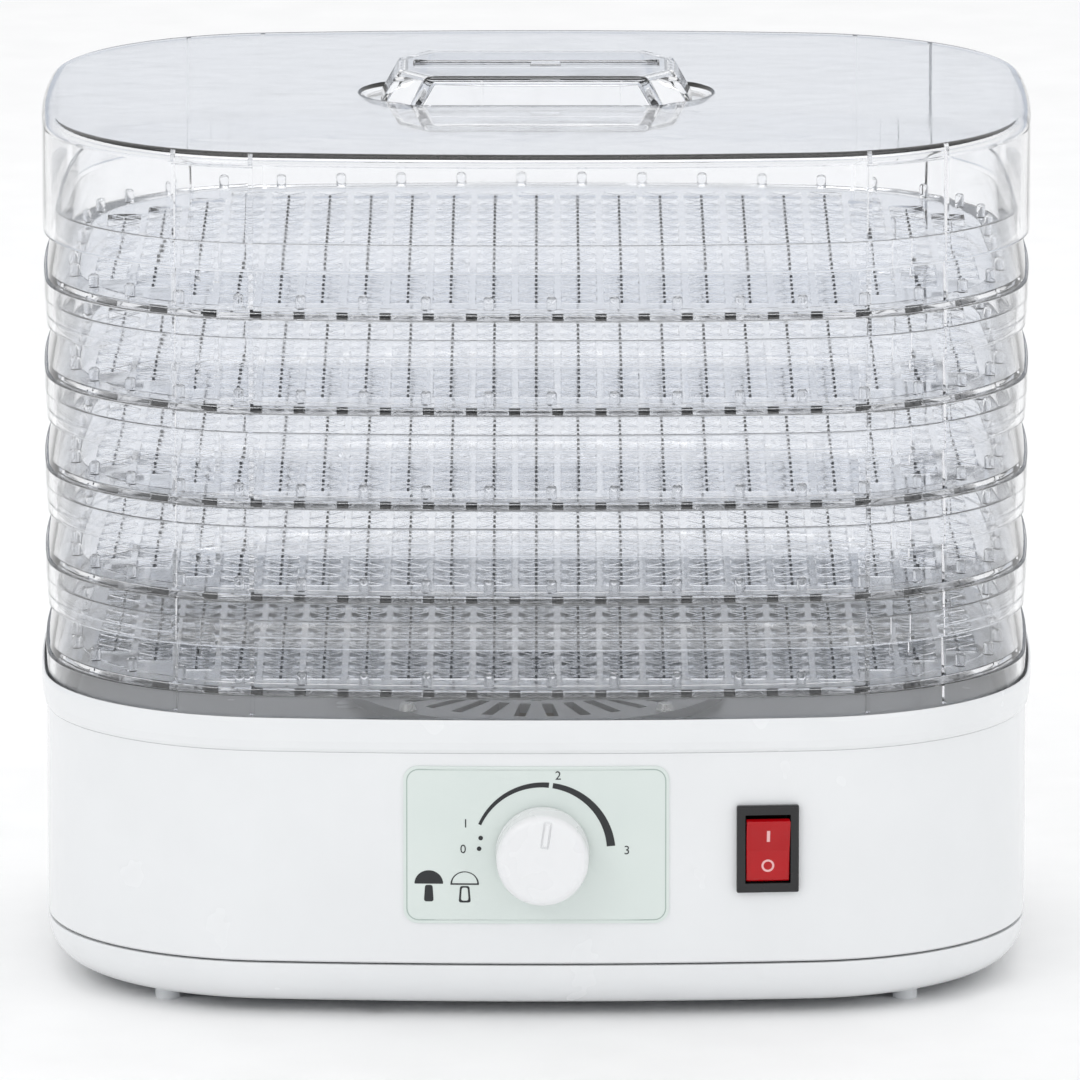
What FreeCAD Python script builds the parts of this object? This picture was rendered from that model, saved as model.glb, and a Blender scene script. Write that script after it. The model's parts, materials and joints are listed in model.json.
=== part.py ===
"""Five-tray food dehydrator: white fan-heater base, five clear nesting trays and a clear lid.

Frame: +X right, -Y towards the user, +Z up, millimetres. The origin is the bottom centre of the
bounding box. Sub-parts are drawn about the axis of the fan, which centre_shift then moves back,
because the knob stands out further in front than the cord inlet does behind.
"""
import FreeCAD, Part
import math
import os
import Sketcher

V = FreeCAD.Vector
UP = V(0, 0, 1)
# turns a sub-part drawn facing +Z so that it faces the user, with its own +Y up
FACING_FRONT = FreeCAD.Rotation(V(1, 0, 0), 90)

DIMENSIONS = {
    # plan outline shared by base, trays and lid: eight tangent arcs
    "half_width": 160, "half_depth": 122.5,
    "front_radius": 900, "side_radius": 700, "corner_radius": 78,
    "centre_shift": 7,
    # levels of the base
    "foot_height": 4, "seam_height": 18.5, "shell_top": 88, "lip_top": 99.2,
    "seat_height": 90.7, "deck_height": 80,
    "shell_inset": 0.2, "shell_wall": 2.6, "pan_wall": 2.5, "pan_rounding": 13.5,
    "foot_x": 119, "foot_y": 86, "foot_radius": 4,
    "vent_pitch": 9, "vent_width": 4, "vent_length": 34, "vent_reach": 36,
    # trays and lid
    "tray_count": 5, "tray_pitch": 30.6, "tray_ledge": 15.3, "tray_rim": 39.4,
    "floor_thickness": 2, "floor_inset": 5, "cell_pitch": 13.667, "bar_width": 2, "grid_border": 11,
    "peg_radius": 1.7, "peg_height": 4.5, "peg_inset": 8.8, "peg_count": 46,
    "panel_left": -103, "panel_right": 118, "panel_width": 26, "panel_step": 0.4,
    "rib_width": 1.5, "rib_spacing": 9, "short_rib_foot": 26, "rib_depth": 2,
    "lid_height": 38.1, "lid_wall": 2.2, "lid_rounding": 4,
    "grip_length": 102, "grip_depth": 55, "grip_height": 9.2, "grip_corner": 13,
    "grip_end_slope": 6.5, "grip_side_slope": 1.5,
    "scoop_x": 33, "scoop_radius": 26, "scoop_drop": 2.2,
    # front controls
    "control_height": 56, "control_x": 2, "label_width": 85, "label_height": 51.4,
    "label_lift": 2.25, "label_thickness": 0.5, "label_corner": 4.6,
    "knob_radius": 15, "knob_height": 14.9, "knob_gap": 0.6, "spindle_radius": 3,
    "bush_radius": 5, "switch_x": 74, "switch_height": 56.6,
    "bezel_width": 20, "bezel_height": 28.5, "bezel_thickness": 2.2,
    "switch_width": 18, "switch_length": 26, "switch_depth": 22,
    "rocker_width": 14, "rocker_length": 20.6, "rocker_pivot": -1, "rocker_tilt": 10,
    "rocker_pin": 1.2,
    # fan, motor and heater
    "shaft_radius": 2, "running_gap": 0.03, "fan_radius": 48, "hub_radius": 12, "fan_bottom": 56,
    "fan_height": 11, "stator_bottom": 28, "stator_height": 18, "rotor_radius": 13.1,
    "rotor_bore": 13.5, "stator_width": 60, "motor_screw_x": 25, "bracket_width": 18,
    "shroud_radius": 54, "shroud_wall": 1.2, "shroud_bottom": 54,
    "board_bottom": 67, "board_height": 10, "element_height": 75.3, "element_radius": 1.5,
    "grille_radius": 62, "grille_thickness": 3, "outlet_radius": 56,
    "boss_radius": 5, "screw_radius": 1.6, "head_radius": 3.2, "wire_radius": 1.1,
    "inlet_radius": 3.5, "inlet_height": 34,
}
# plan positions of the columns that the pan is screwed to
CASE_SCREWS = [(-132, -62), (-52, -106), (132, -62), (132, 62), (52, 106), (-132, 62)]
GRILLE_SCREW_ANGLES = (45, 135, 225, 315)
TRAYS = range(1, DIMENSIONS["tray_count"] + 1)

doc = FreeCAD.newDocument("food_dehydrator")
sheet = doc.addObject("Spreadsheet::Sheet", "dims")
for row, (word, number) in enumerate(DIMENSIONS.items(), start=1):
    sheet.set(f"A{row}", word)
    sheet.set(f"B{row}", str(number))
    sheet.setAlias(f"B{row}", word)
doc.recompute()
SUBPARTS = []


# ---------------------------------------------------------------- sheet and placement helpers
def text(expression):
    """Name a sheet cell in an object's expression: bare words become dims.word."""
    words, word = [], ""
    for letter in str(expression) + " ":
        if letter.isalnum() or letter in "_.":
            word += letter
            continue
        words.append("dims." + word if word in DIMENSIONS else word)
        words.append(letter)
        word = ""
    return "".join(words).strip()


def value(expression):
    """Evaluate an expression of sheet words as a plain number."""
    result = sheet.evalExpression(str(expression))
    return float(getattr(result, "Value", result))


def minus(expression, amount):
    return f"({expression}) - ({amount})"


def bind(thing, **properties):
    for name, expression in properties.items():
        thing.setExpression(name, text(expression))


def put(thing, at=("0", "0", "0"), rotation=None):
    """Place an object, binding its base point to the sheet."""
    if rotation:
        thing.Placement = FreeCAD.Placement(V(), rotation)
    for axis, expression in zip("xyz", at):
        thing.setExpression(f"Placement.Base.{axis}", text(expression))
    return thing


def finish(thing, label, at=("0", "0", "0"), rotation=None):
    """Name a finished sub-part and place it in the object's frame."""
    thing.Label = label
    put(thing, (at[0], f"{at[1]} + centre_shift", at[2]), rotation)
    SUBPARTS.append(thing)
    return thing


# ---------------------------------------------------------------- sketch helpers
def new_body(name):
    return doc.addObject("PartDesign::Body", name)


def new_sketch(body, name, role, height="0"):
    sketch = body.newObject("Sketcher::SketchObject", name)
    plane = [feature for feature in body.Origin.OriginFeatures if feature.Role == role][0]
    sketch.AttachmentSupport = [(plane, "")]
    sketch.MapMode = "FlatFace"
    sketch.setExpression("AttachmentOffset.Base.z", text(height))
    return sketch


def constrain(sketch, kind, *arguments, to):
    number = sketch.addConstraint(Sketcher.Constraint(kind, *arguments, value(to)))
    sketch.setExpression(f"Constraints[{number}]", text(to))


def corner_centre():
    """Centre of the corner arc that touches both the front and the side arc."""
    front = value("front_radius - corner_radius")
    side = value("side_radius - corner_radius")
    drop, reach = value("front_radius - half_depth"), value("half_width - side_radius")
    apart = math.hypot(drop, reach)
    along = (front ** 2 - side ** 2 + apart ** 2) / (2 * apart)
    across = math.sqrt(front ** 2 - along ** 2)
    return ((along * reach + across * drop) / apart,
            -drop + (along * drop - across * reach) / apart)


def outline(body, name, inset="0", height="0"):
    """Closed outline of eight tangent arcs on body's XY plane, inset from the nominal one."""
    sketch = new_sketch(body, name, "XY_Plane", height)
    x, y = corner_centre()
    drop, reach = value("front_radius - half_depth"), value("side_radius - half_width")
    side_angle = math.atan2(y, x + reach)
    front_angle = math.atan2(y + drop, x)
    turns = [(V(-reach, 0), "side_radius", -side_angle, side_angle),
             (V(x, y), "corner_radius", side_angle, front_angle),
             (V(0, -drop), "front_radius", front_angle, math.pi - front_angle),
             (V(-x, y), "corner_radius", math.pi - front_angle, math.pi - side_angle)]
    turns += [(V(-c.x, -c.y), radius, first + math.pi, last + math.pi)
              for c, radius, first, last in turns]
    for centre, radius, first, last in turns:
        circle = Part.Circle(centre, UP, value(minus(radius, inset)))
        sketch.addGeometry(Part.ArcOfCircle(circle, first, last), False)
    for k, (centre, radius, first, last) in enumerate(turns):
        sketch.addConstraint(Sketcher.Constraint("Tangent", k, 2, (k + 1) % 8, 1))
        constrain(sketch, "Radius", k, to=minus(radius, inset))
    for k, axis, kind, distance in ((0, -1, "DistanceX", "half_width - side_radius"),
                                    (4, -1, "DistanceX", "side_radius - half_width"),
                                    (2, -2, "DistanceY", "half_depth - front_radius"),
                                    (6, -2, "DistanceY", "front_radius - half_depth")):
        sketch.addConstraint(Sketcher.Constraint("PointOnObject", k, 3, axis))
        constrain(sketch, kind, -1, 1, k, 3, to=distance)
    return sketch


def polygon(body, name, role, points, height="0"):
    """Closed polygon whose corners are expressions of sheet words."""
    sketch = new_sketch(body, name, role, height)
    corners = [V(value(x), value(y), 0) for x, y in points]
    count = len(corners)
    for k in range(count):
        sketch.addGeometry(Part.LineSegment(corners[k], corners[(k + 1) % count]), False)
    for k, (x, y) in enumerate(points):
        sketch.addConstraint(Sketcher.Constraint("Coincident", k, 2, (k + 1) % count, 1))
        constrain(sketch, "DistanceX", -1, 1, k, 1, to=x)
        constrain(sketch, "DistanceY", -1, 1, k, 1, to=y)
    return sketch


def circle_sketch(body, name, role, radius, at=("0", "0"), height="0"):
    sketch = new_sketch(body, name, role, height)
    centre = V(value(at[0]), value(at[1]), 0)
    sketch.addGeometry(Part.Circle(centre, UP, value(radius)), False)
    constrain(sketch, "Radius", 0, to=radius)
    constrain(sketch, "DistanceX", -1, 1, 0, 3, to=at[0])
    constrain(sketch, "DistanceY", -1, 1, 0, 3, to=at[1])
    return sketch


# ---------------------------------------------------------------- feature helpers
def pad(body, sketch, length, symmetric=False):
    feature = body.newObject("PartDesign::Pad", sketch.Name + "_pad")
    feature.Profile = sketch
    feature.Midplane = symmetric
    feature.setExpression("Length", text(length))
    doc.recompute()
    return feature


def pocket(body, sketch, length, symmetric=False, reverse=False):
    """Cut a sketch into the body, and check that it really took material away."""
    before = body.Shape.Volume
    feature = body.newObject("PartDesign::Pocket", sketch.Name + "_pocket")
    feature.Profile = sketch
    feature.Midplane = symmetric
    feature.Reversed = reverse
    feature.setExpression("Length", text(length))
    doc.recompute()
    if body.Shape.Volume > before - 0.01:
        raise RuntimeError(f"{feature.Name} cuts nothing")
    return feature


def ring(body, name, section, inset="0"):
    """Sweep a section, drawn on the XZ plane at the right-hand side, round the outline."""
    spine = outline(body, name + "_path", inset)
    profile = polygon(body, name + "_section", "XZ_Plane", section)
    doc.recompute()
    sweep = body.newObject("PartDesign::AdditivePipe", name + "_sweep")
    sweep.Profile = profile
    sweep.Spine = (spine, [])
    doc.recompute()
    return sweep


def turned(body, name, section):
    """Revolve a section drawn on the XZ plane about the body's Z axis."""
    sketch = polygon(body, name, "XZ_Plane", section)
    feature = body.newObject("PartDesign::Revolution", name + "_turn")
    feature.Profile = sketch
    feature.ReferenceAxis = (sketch, ["V_Axis"])
    feature.Angle = 360
    doc.recompute()
    return feature


def round_edges(body, base, radius, wanted):
    """Fillet those edges of a feature that the test `wanted` picks."""
    names = [f"Edge{k}" for k, edge in enumerate(base.Shape.Edges, start=1) if wanted(edge)]
    feature = body.newObject("PartDesign::Fillet", base.Name + "_fillet")
    feature.Base = (base, names)
    feature.setExpression("Radius", text(radius))
    doc.recompute()
    return feature


def polar(body, feature, count):
    """Repeat a feature round the body's Z axis."""
    pattern = body.newObject("PartDesign::PolarPattern", feature.Name + "_pattern")
    pattern.Originals = [feature]
    axis = [item for item in body.Origin.OriginFeatures if item.Role == "Z_Axis"][0]
    pattern.Axis = (axis, [""])
    pattern.Angle = 360
    pattern.Occurrences = count
    body.Tip = pattern
    doc.recompute()
    return pattern


def box(name, size, at):
    """Box of the given size whose lowest corner is `at`."""
    block = doc.addObject("Part::Box", name)
    bind(block, Length=size[0], Width=size[1], Height=size[2])
    return put(block, at)


def turned_box(name, size, pivot, turn):
    """Box centred in X and Y and standing on its own origin, turned and moved to `pivot`."""
    block = doc.addObject("Part::Box", name)
    bind(block, Length=size[0], Width=size[1], Height=size[2])
    corner = V(-value(size[0]) / 2, -value(size[1]) / 2, 0)
    block.Placement = FreeCAD.Placement(pivot + turn.multVec(corner), turn)
    return block


def cylinder(name, radius, height, at=("0", "0", "0"), along=UP):
    rod = doc.addObject("Part::Cylinder", name)
    bind(rod, Radius=radius, Height=height)
    return put(rod, at, FreeCAD.Rotation(UP, along))


def cone(name, low_radius, high_radius, height, at):
    taper = doc.addObject("Part::Cone", name)
    bind(taper, Radius1=low_radius, Radius2=high_radius, Height=height)
    return put(taper, at)


def cut(name, base, tool):
    result = doc.addObject("Part::Cut", name)
    result.Base = base
    result.Tool = tool
    return result


def common(name, first, second):
    result = doc.addObject("Part::Common", name)
    result.Base = first
    result.Tool = second
    return result


def fuse(name, shapes):
    result = doc.addObject("Part::MultiFuse", name)
    result.Shapes = shapes
    return result


def group(name, shapes):
    """Several separate solids that make one node."""
    result = doc.addObject("Part::Compound", name)
    result.Links = shapes
    return result


# ---------------------------------------------------------------- base: housing
def bottom_pan():
    """Shallow pan with a large rounded edge, four gusseted feet, air slots and screw columns."""
    outer = new_body("pan_outer")
    block = pad(outer, outline(outer, "pan_outline", "shell_inset", "foot_height"),
                "seam_height - foot_height")
    low = value("foot_height")
    round_edges(outer, block, "pan_rounding", lambda e: e.BoundBox.ZMax < low + 0.01)
    inner = new_body("pan_inner")
    hollow = pad(inner, outline(inner, "pan_hollow", "shell_inset + pan_wall",
                                "foot_height + pan_wall"), "seam_height")
    floor = value("foot_height + pan_wall")
    round_edges(inner, hollow, "pan_rounding - pan_wall", lambda e: e.BoundBox.ZMax < floor + 0.01)
    pieces = [cut("pan_dish", outer, inner)]
    for k, (x, y) in enumerate(((1, 1), (-1, 1), (-1, -1), (1, -1)), start=1):
        at = (f"{x} * foot_x", f"{y} * foot_y", "0")
        pieces.append(cylinder(f"foot_{k}", "foot_radius", "foot_height + 4", at))
        gusset = (f"{x} * (foot_x - foot_radius - 4) - 6", f"{y} * foot_y - 0.8", "1.5")
        pieces.append(box(f"gusset_{k}", ("12", "1.6", "foot_height + 1"), gusset))
    for k, (x, y) in enumerate(CASE_SCREWS, start=1):
        pieces.append(cylinder(f"pan_column_{k}", "boss_radius", "seam_height - foot_height - 2",
                               (x, y, "foot_height + 2")))
    for k, x in enumerate((-46, 46), start=1):
        pieces.append(cylinder(f"motor_column_{k}", "boss_radius", "20", (x, 0, "foot_height + 2")))
    holes = [cylinder(f"column_hole_{k}", "screw_radius + 0.1", "seam_height", (x, y, "0"))
             for k, (x, y) in enumerate(CASE_SCREWS, start=1)]
    holes += [cylinder(f"column_recess_{k}", "head_radius + 0.2", "foot_height + 5", (x, y, "0"))
              for k, (x, y) in enumerate(CASE_SCREWS, start=1)]
    holes += [cylinder(f"motor_hole_{k}", "screw_radius", "14", (x, 0, "12.5"))
              for k, x in enumerate((-46, 46), start=1)]
    for k in range(-3, 4):
        for side in (-1, 1):
            y = f"{side} * vent_reach - vent_length / 2"
            holes.append(box(f"pan_vent_{k + 4}_{side + 2}", ("vent_width", "vent_length", "20"),
                             (f"{k} * vent_pitch - vent_width / 2", y, "-2")))
    solid = fuse("pan_solid", pieces)
    finish(cut("pan", solid, fuse("pan_holes", holes)), "bottom_pan")


def body_shell():
    """White side wall with the switch, spindle and cord openings and the screw columns inside."""
    wall = new_body("shell_wall_ring")
    out, inside = "half_width - shell_inset", "half_width - shell_inset - shell_wall"
    ring(wall, "shell", [(inside, "seam_height + 0.6"), (out + " - 0.6", "seam_height + 0.6"),
                         (out, "seam_height + 1.2"), (out, "shell_top"), (inside, "shell_top")])
    columns = [cylinder(f"shell_column_{k}", "boss_radius", "24", (x, y, "seam_height"))
               for k, (x, y) in enumerate(CASE_SCREWS, start=1)]
    for k, (x, y) in enumerate(CASE_SCREWS, start=1):
        reach = 24 if abs(x) > 100 else 15
        web_at = (x if x > 100 else x - reach if x < -100 else x - 1.5,
                  y - 1.5 if abs(x) > 100 else y if y > 0 else y - reach, "seam_height + 1")
        size = (reach, 3, "20") if abs(x) > 100 else (3, reach, "20")
        columns.append(box(f"shell_web_{k}", size, web_at))
    filled = new_body("shell_inside")
    pad(filled, outline(filled, "shell_limit", "shell_inset + 1", "0"), "shell_top")
    columns = common("shell_columns", fuse("shell_webs", columns), filled)
    front = "-half_depth"
    spindle_hole = cylinder("spindle_hole", "bush_radius + 0.2", "20",
                            ("control_x", front + " - 5", "control_height"), V(0, 1, 0))
    turn = FreeCAD.Rotation(UP, value("asin(switch_x / front_radius)"))
    foot = V(value("switch_x"), -surface_depth("switch_x"),
             value("switch_height - switch_length / 2 - 0.15"))
    switch_hole = turned_box("switch_hole", ("switch_width + 0.3", "30", "switch_length + 0.3"),
                             foot, turn)
    cord_hole = cylinder("cord_hole", "inlet_radius + 3.1", "20",
                         ("0", "half_depth - 12", "inlet_height"), V(0, 1, 0))
    holes = [cylinder(f"shell_hole_{k}", "screw_radius", "18", (x, y, "seam_height"))
             for k, (x, y) in enumerate(CASE_SCREWS, start=1)]
    solid = fuse("shell_solid", [wall, columns])
    cutters = fuse("shell_cutters", [spindle_hole, switch_hole, cord_hole] + holes)
    finish(cut("shell", solid, cutters), "body_shell")


def surface_depth(x):
    """Distance of the housing's front surface from the fan axis at a given x."""
    radius = value("front_radius - shell_inset")
    return math.sqrt(radius ** 2 - value(x) ** 2) - value("front_radius - half_depth")


def top_deck():
    """Rounded lip that the first tray drops into, its seat, and the dished deck with the outlet."""
    deck = new_body("deck")
    edge = "half_width"
    ring(deck, "lip", [
        (edge + " - shell_inset - shell_wall", "shell_top"), (edge, "shell_top"),
        (edge + " + 0.8", "89.4"), (edge + " + 1.3", "91.8"), (edge + " + 1.5", "95.5"),
        (edge + " + 1.5", "97.8"), (edge + " + 1.1", "lip_top"), (edge + " + 0.6", "lip_top"),
        (edge + " + 0.5", "seat_height"),
        (edge + " - 5", "seat_height"), (edge + " - 8", "deck_height + 2.5"),
        (edge + " - 11", "deck_height + 2.5"), (edge + " - 11", "deck_height"),
        (edge + " - 6.5", "deck_height"), (edge + " - 5.5", "84")])
    pad(deck, outline(deck, "deck_plate", "10.5", "deck_height"), "2.5")
    pocket(deck, circle_sketch(deck, "outlet", "XY_Plane", "outlet_radius", height="deck_height"),
           "10", reverse=True)
    for k, angle in enumerate(GRILLE_SCREW_ANGLES, start=1):
        at = (f"59 * cos({angle})", f"59 * sin({angle})")
        hole = circle_sketch(deck, f"deck_hole_{k}", "XY_Plane", "screw_radius", at, "deck_height")
        pocket(deck, hole, "10", reverse=True)
    finish(deck, "top_deck")


def fan_grille():
    """Round guard over the outlet, with two rings of radial slots."""
    guard = new_body("grille")
    pad(guard, circle_sketch(guard, "grille_disc", "XY_Plane", "grille_radius"), "grille_thickness")
    for name, near, far, half, count in (("inner_slot", 12, 29, 1.7, 16),
                                         ("outer_slot", 33, 52, 1.9, 30)):
        slot = polygon(guard, name, "XY_Plane",
                       [(near, -half), (far, -half), (far, half), (near, half)])
        polar(guard, pocket(guard, slot, "grille_thickness + 2", reverse=True), count)
    hole = circle_sketch(guard, "grille_hole", "XY_Plane", "screw_radius + 0.2",
                         ("59 * cos(45)", "59 * sin(45)"))
    polar(guard, pocket(guard, hole, "grille_thickness + 2", reverse=True), 4)
    finish(guard, "fan_grille", ("0", "0", "deck_height + 2.5"))


def screw(name, x, y, top, length, downward=False):
    """Pan-head screw: shank and domed head, head upwards unless it points down."""
    head = cone(name + "_head", "head_radius", "head_radius * 0.7", "2", (x, y, top))
    shank = cylinder(name + "_shank", "screw_radius - 0.1", length, (x, y, f"{top} - {length}"))
    if downward:
        head = cone(name + "_head", "head_radius * 0.7", "head_radius", "2", (x, y, f"{top} - 2"))
        shank = cylinder(name + "_shank", "screw_radius - 0.1", length, (x, y, top))
    return fuse(name, [head, shank])


def fixings():
    """Case screws from below, and grille screws from above."""
    case = [screw(f"case_screw_{k}", x, y, "foot_height + 5", "24", downward=True)
            for k, (x, y) in enumerate(CASE_SCREWS, start=1)]
    finish(group("case_screw_set", case), "case_screws")
    tops = [screw(f"grille_screw_{k}", f"59 * cos({a})", f"59 * sin({a})",
                  "deck_height + 2.5 + grille_thickness", "5.4")
            for k, a in enumerate(GRILLE_SCREW_ANGLES, start=1)]
    finish(group("grille_screw_set", tops), "grille_screws")


# ---------------------------------------------------------------- front controls
def control_label():
    """Thin rounded panel that follows the curve of the front."""
    plate = box("label_block", ("label_width", "20", "label_height"),
                ("-label_width / 2", "-half_depth - 5", "control_height + label_lift - label_height / 2"))
    rounded = doc.addObject("Part::Fillet", "label_rounded")
    doc.recompute()
    corners = [k for k, e in enumerate(plate.Shape.Edges, start=1) if e.BoundBox.YLength > 19]
    rounded.Base = plate
    radius = value("label_corner")
    rounded.Edges = [(k, radius, radius) for k in corners]
    middle = ("0", "front_radius - half_depth", "0")
    skin = cut("label_skin",
               cylinder("label_outside", "front_radius - shell_inset + label_thickness", "120", middle),
               cylinder("label_inside", "front_radius - shell_inset", "120", middle))
    sheet_metal = common("label_sheet", skin, rounded)
    hole = cylinder("label_hole", "bush_radius + 0.2", "20",
                    ("control_x", "-half_depth - 5", "control_height"), V(0, 1, 0))
    finish(cut("label", sheet_metal, hole), "control_label")


FRONT_OF_LABEL = "-half_depth + shell_inset - label_thickness"


def control_knob():
    """Hollow round knob with a hub for the spindle and a raised pointer on its face."""
    knob = new_body("knob")
    rim, top = "knob_radius", "knob_height"
    turned(knob, "knob_section", [
        (rim + " - 1.6", "knob_gap"), (rim, "knob_gap"), (rim + " - 0.2", top + " - 2.2"),
        (rim + " - 0.9", top + " - 0.7"), (rim + " - 2.4", top), ("0.4", top + " + 0.1"),
        ("0.4", top + " - 2"), ("spindle_radius", top + " - 2"), ("spindle_radius", "4.5"),
        ("spindle_radius + 2", "4.5"), ("spindle_radius + 2", top + " - 2"),
        (rim + " - 2", top + " - 2.6")])
    face = circle_sketch(knob, "knob_face", "XY_Plane", "spindle_radius - 0.4", height=top + " - 2")
    pad(knob, face, "2")
    start, end = rim + " - 9.7", rim + " - 2.6"
    pointer = polygon(knob, "pointer", "XY_Plane", [
        ("-0.75", start), ("-0.4", start + " - 0.4"), ("0.4", start + " - 0.4"), ("0.75", start),
        ("0.75", end), ("-0.75", end)], top + " - 0.8")
    pad(knob, pointer, "1.4")
    rest = FreeCAD.Rotation(UP, -8)
    finish(knob, "control_knob", ("control_x", FRONT_OF_LABEL, "control_height"),
           FACING_FRONT.multiply(rest))


def thermostat():
    """Adjustable thermostat: case with its bush, hexagon nut, spindle and blade terminals."""
    place = ("control_x", FRONT_OF_LABEL, "control_height")
    back = "-label_thickness - shell_wall - 0.5"
    case = fuse("thermostat_case", [
        box("thermostat_block", ("34", "30", "22"), ("-17", "-15", f"{back} - 22")),
        cylinder("thermostat_bush", "bush_radius", f"3.6 - ({back})", ("0", "0", back))])
    bore = cylinder("thermostat_bore", "spindle_radius + 0.05", "22", ("0", "0", "-17"))
    finish(cut("thermostat_cut", case, bore), "thermostat_body", place, FACING_FRONT)

    nut = new_body("nut")
    hexagon = [(f"7.4 * cos({60 * k})", f"7.4 * sin({60 * k})") for k in range(6)]
    pad(nut, polygon(nut, "nut_hexagon", "XY_Plane", hexagon, "0.05"), "2.6")
    pocket(nut, circle_sketch(nut, "nut_bore", "XY_Plane", "bush_radius + 0.02"), "4", reverse=True)
    finish(nut, "thermostat_nut", place, FACING_FRONT)

    spindle = new_body("spindle")
    pad(spindle, circle_sketch(spindle, "spindle_circle", "XY_Plane", "spindle_radius - 0.01",
                               height="-15"), "15 + knob_height - 2.4")
    finish(spindle, "thermostat_shaft", place, FACING_FRONT)

    blades = [box(f"thermostat_blade_{k}", ("6.3", "0.8", "8"), (x, y, f"{back} - 30"))
              for k, (x, y) in enumerate((("-11", "6"), ("4.7", "6"), ("-3.15", "-8")), start=1)]
    finish(group("thermostat_blades", blades), "thermostat_terminals", place, FACING_FRONT)


def switch_place():
    """Point on the curved front under the switch, and the turn that faces the switch outwards."""
    yaw = FreeCAD.Rotation(UP, value("asin(switch_x / front_radius)"))
    depth = "front_radius - half_depth - sqrt((front_radius - shell_inset) ^ 2 - switch_x ^ 2)"
    return ("switch_x", depth, "switch_height"), yaw.multiply(FACING_FRONT)


def power_switch():
    """Rocker switch: bezel and housing, lamp behind the rocker, blades, and the rocker itself."""
    place, turn = switch_place()
    body = fuse("switch_solid", [
        box("switch_bezel", ("bezel_width", "bezel_height", "bezel_thickness"),
            ("-bezel_width / 2", "-bezel_height / 2", "0")),
        box("switch_block", ("switch_width", "switch_length", "switch_depth + 1"),
            ("-switch_width / 2", "-switch_length / 2", "-switch_depth"))])
    well = box("switch_well", ("rocker_width + 0.6", "rocker_length + 1.8", "20"),
               ("-rocker_width / 2 - 0.3", "-rocker_length / 2 - 0.9", "-9.8"))
    lamp_well = box("lamp_well", ("11", "5", "8"), ("-5.5", "-2.5", "-15"))
    pins = cylinder("pin_bore", "rocker_pin + 0.06", "16.8", ("-8.4", "0", "rocker_pivot"),
                    V(1, 0, 0))
    finish(cut("switch_case", body, fuse("switch_hollow", [well, lamp_well, pins])),
           "switch_frame", place, turn)

    lamp = cylinder("lamp", "1.9", "9", ("-4.5", "0", "-12.4"), V(1, 0, 0))
    finish(group("lamp_group", [lamp]), "switch_lamp", place, turn)
    blades = [box(f"switch_blade_{k}", ("6.3", "0.8", "9"), ("-3.15", y, "-switch_depth - 9"))
              for k, y in enumerate(("-8.4", "-0.4", "7.6"), start=1)]
    finish(group("switch_blades", blades), "switch_terminals", place, turn)

    # drawn about its pivot, level; it rests tilted with the off end pressed in
    rocker = new_body("rocker")
    half, lift = "rocker_length / 2", "-rocker_pivot"
    side = polygon(rocker, "rocker_side", "YZ_Plane", [
        (f"-{half}", f"{lift} + 3.2"), (f"-{half}", f"{lift} + 0.2"), ("-6", f"{lift} - 6"),
        ("6", f"{lift} - 6"), (half, f"{lift} + 0.2"), (half, f"{lift} + 3.2"),
        ("0", f"{lift} + 2.3")])
    pad(rocker, side, "rocker_width", symmetric=True)
    pin = circle_sketch(rocker, "rocker_pins", "YZ_Plane", "rocker_pin")
    pad(rocker, pin, "rocker_width + 2.4", symmetric=True)
    tilt = FreeCAD.Rotation(V(1, 0, 0), value("rocker_tilt"))
    x, y, z = place
    pivot = turn.multVec(UP) * value("rocker_pivot")
    finish(rocker, "switch_rocker", (f"{x} + ({pivot.x})", f"{y} + ({pivot.y})", z),
           turn.multiply(tilt))


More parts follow.
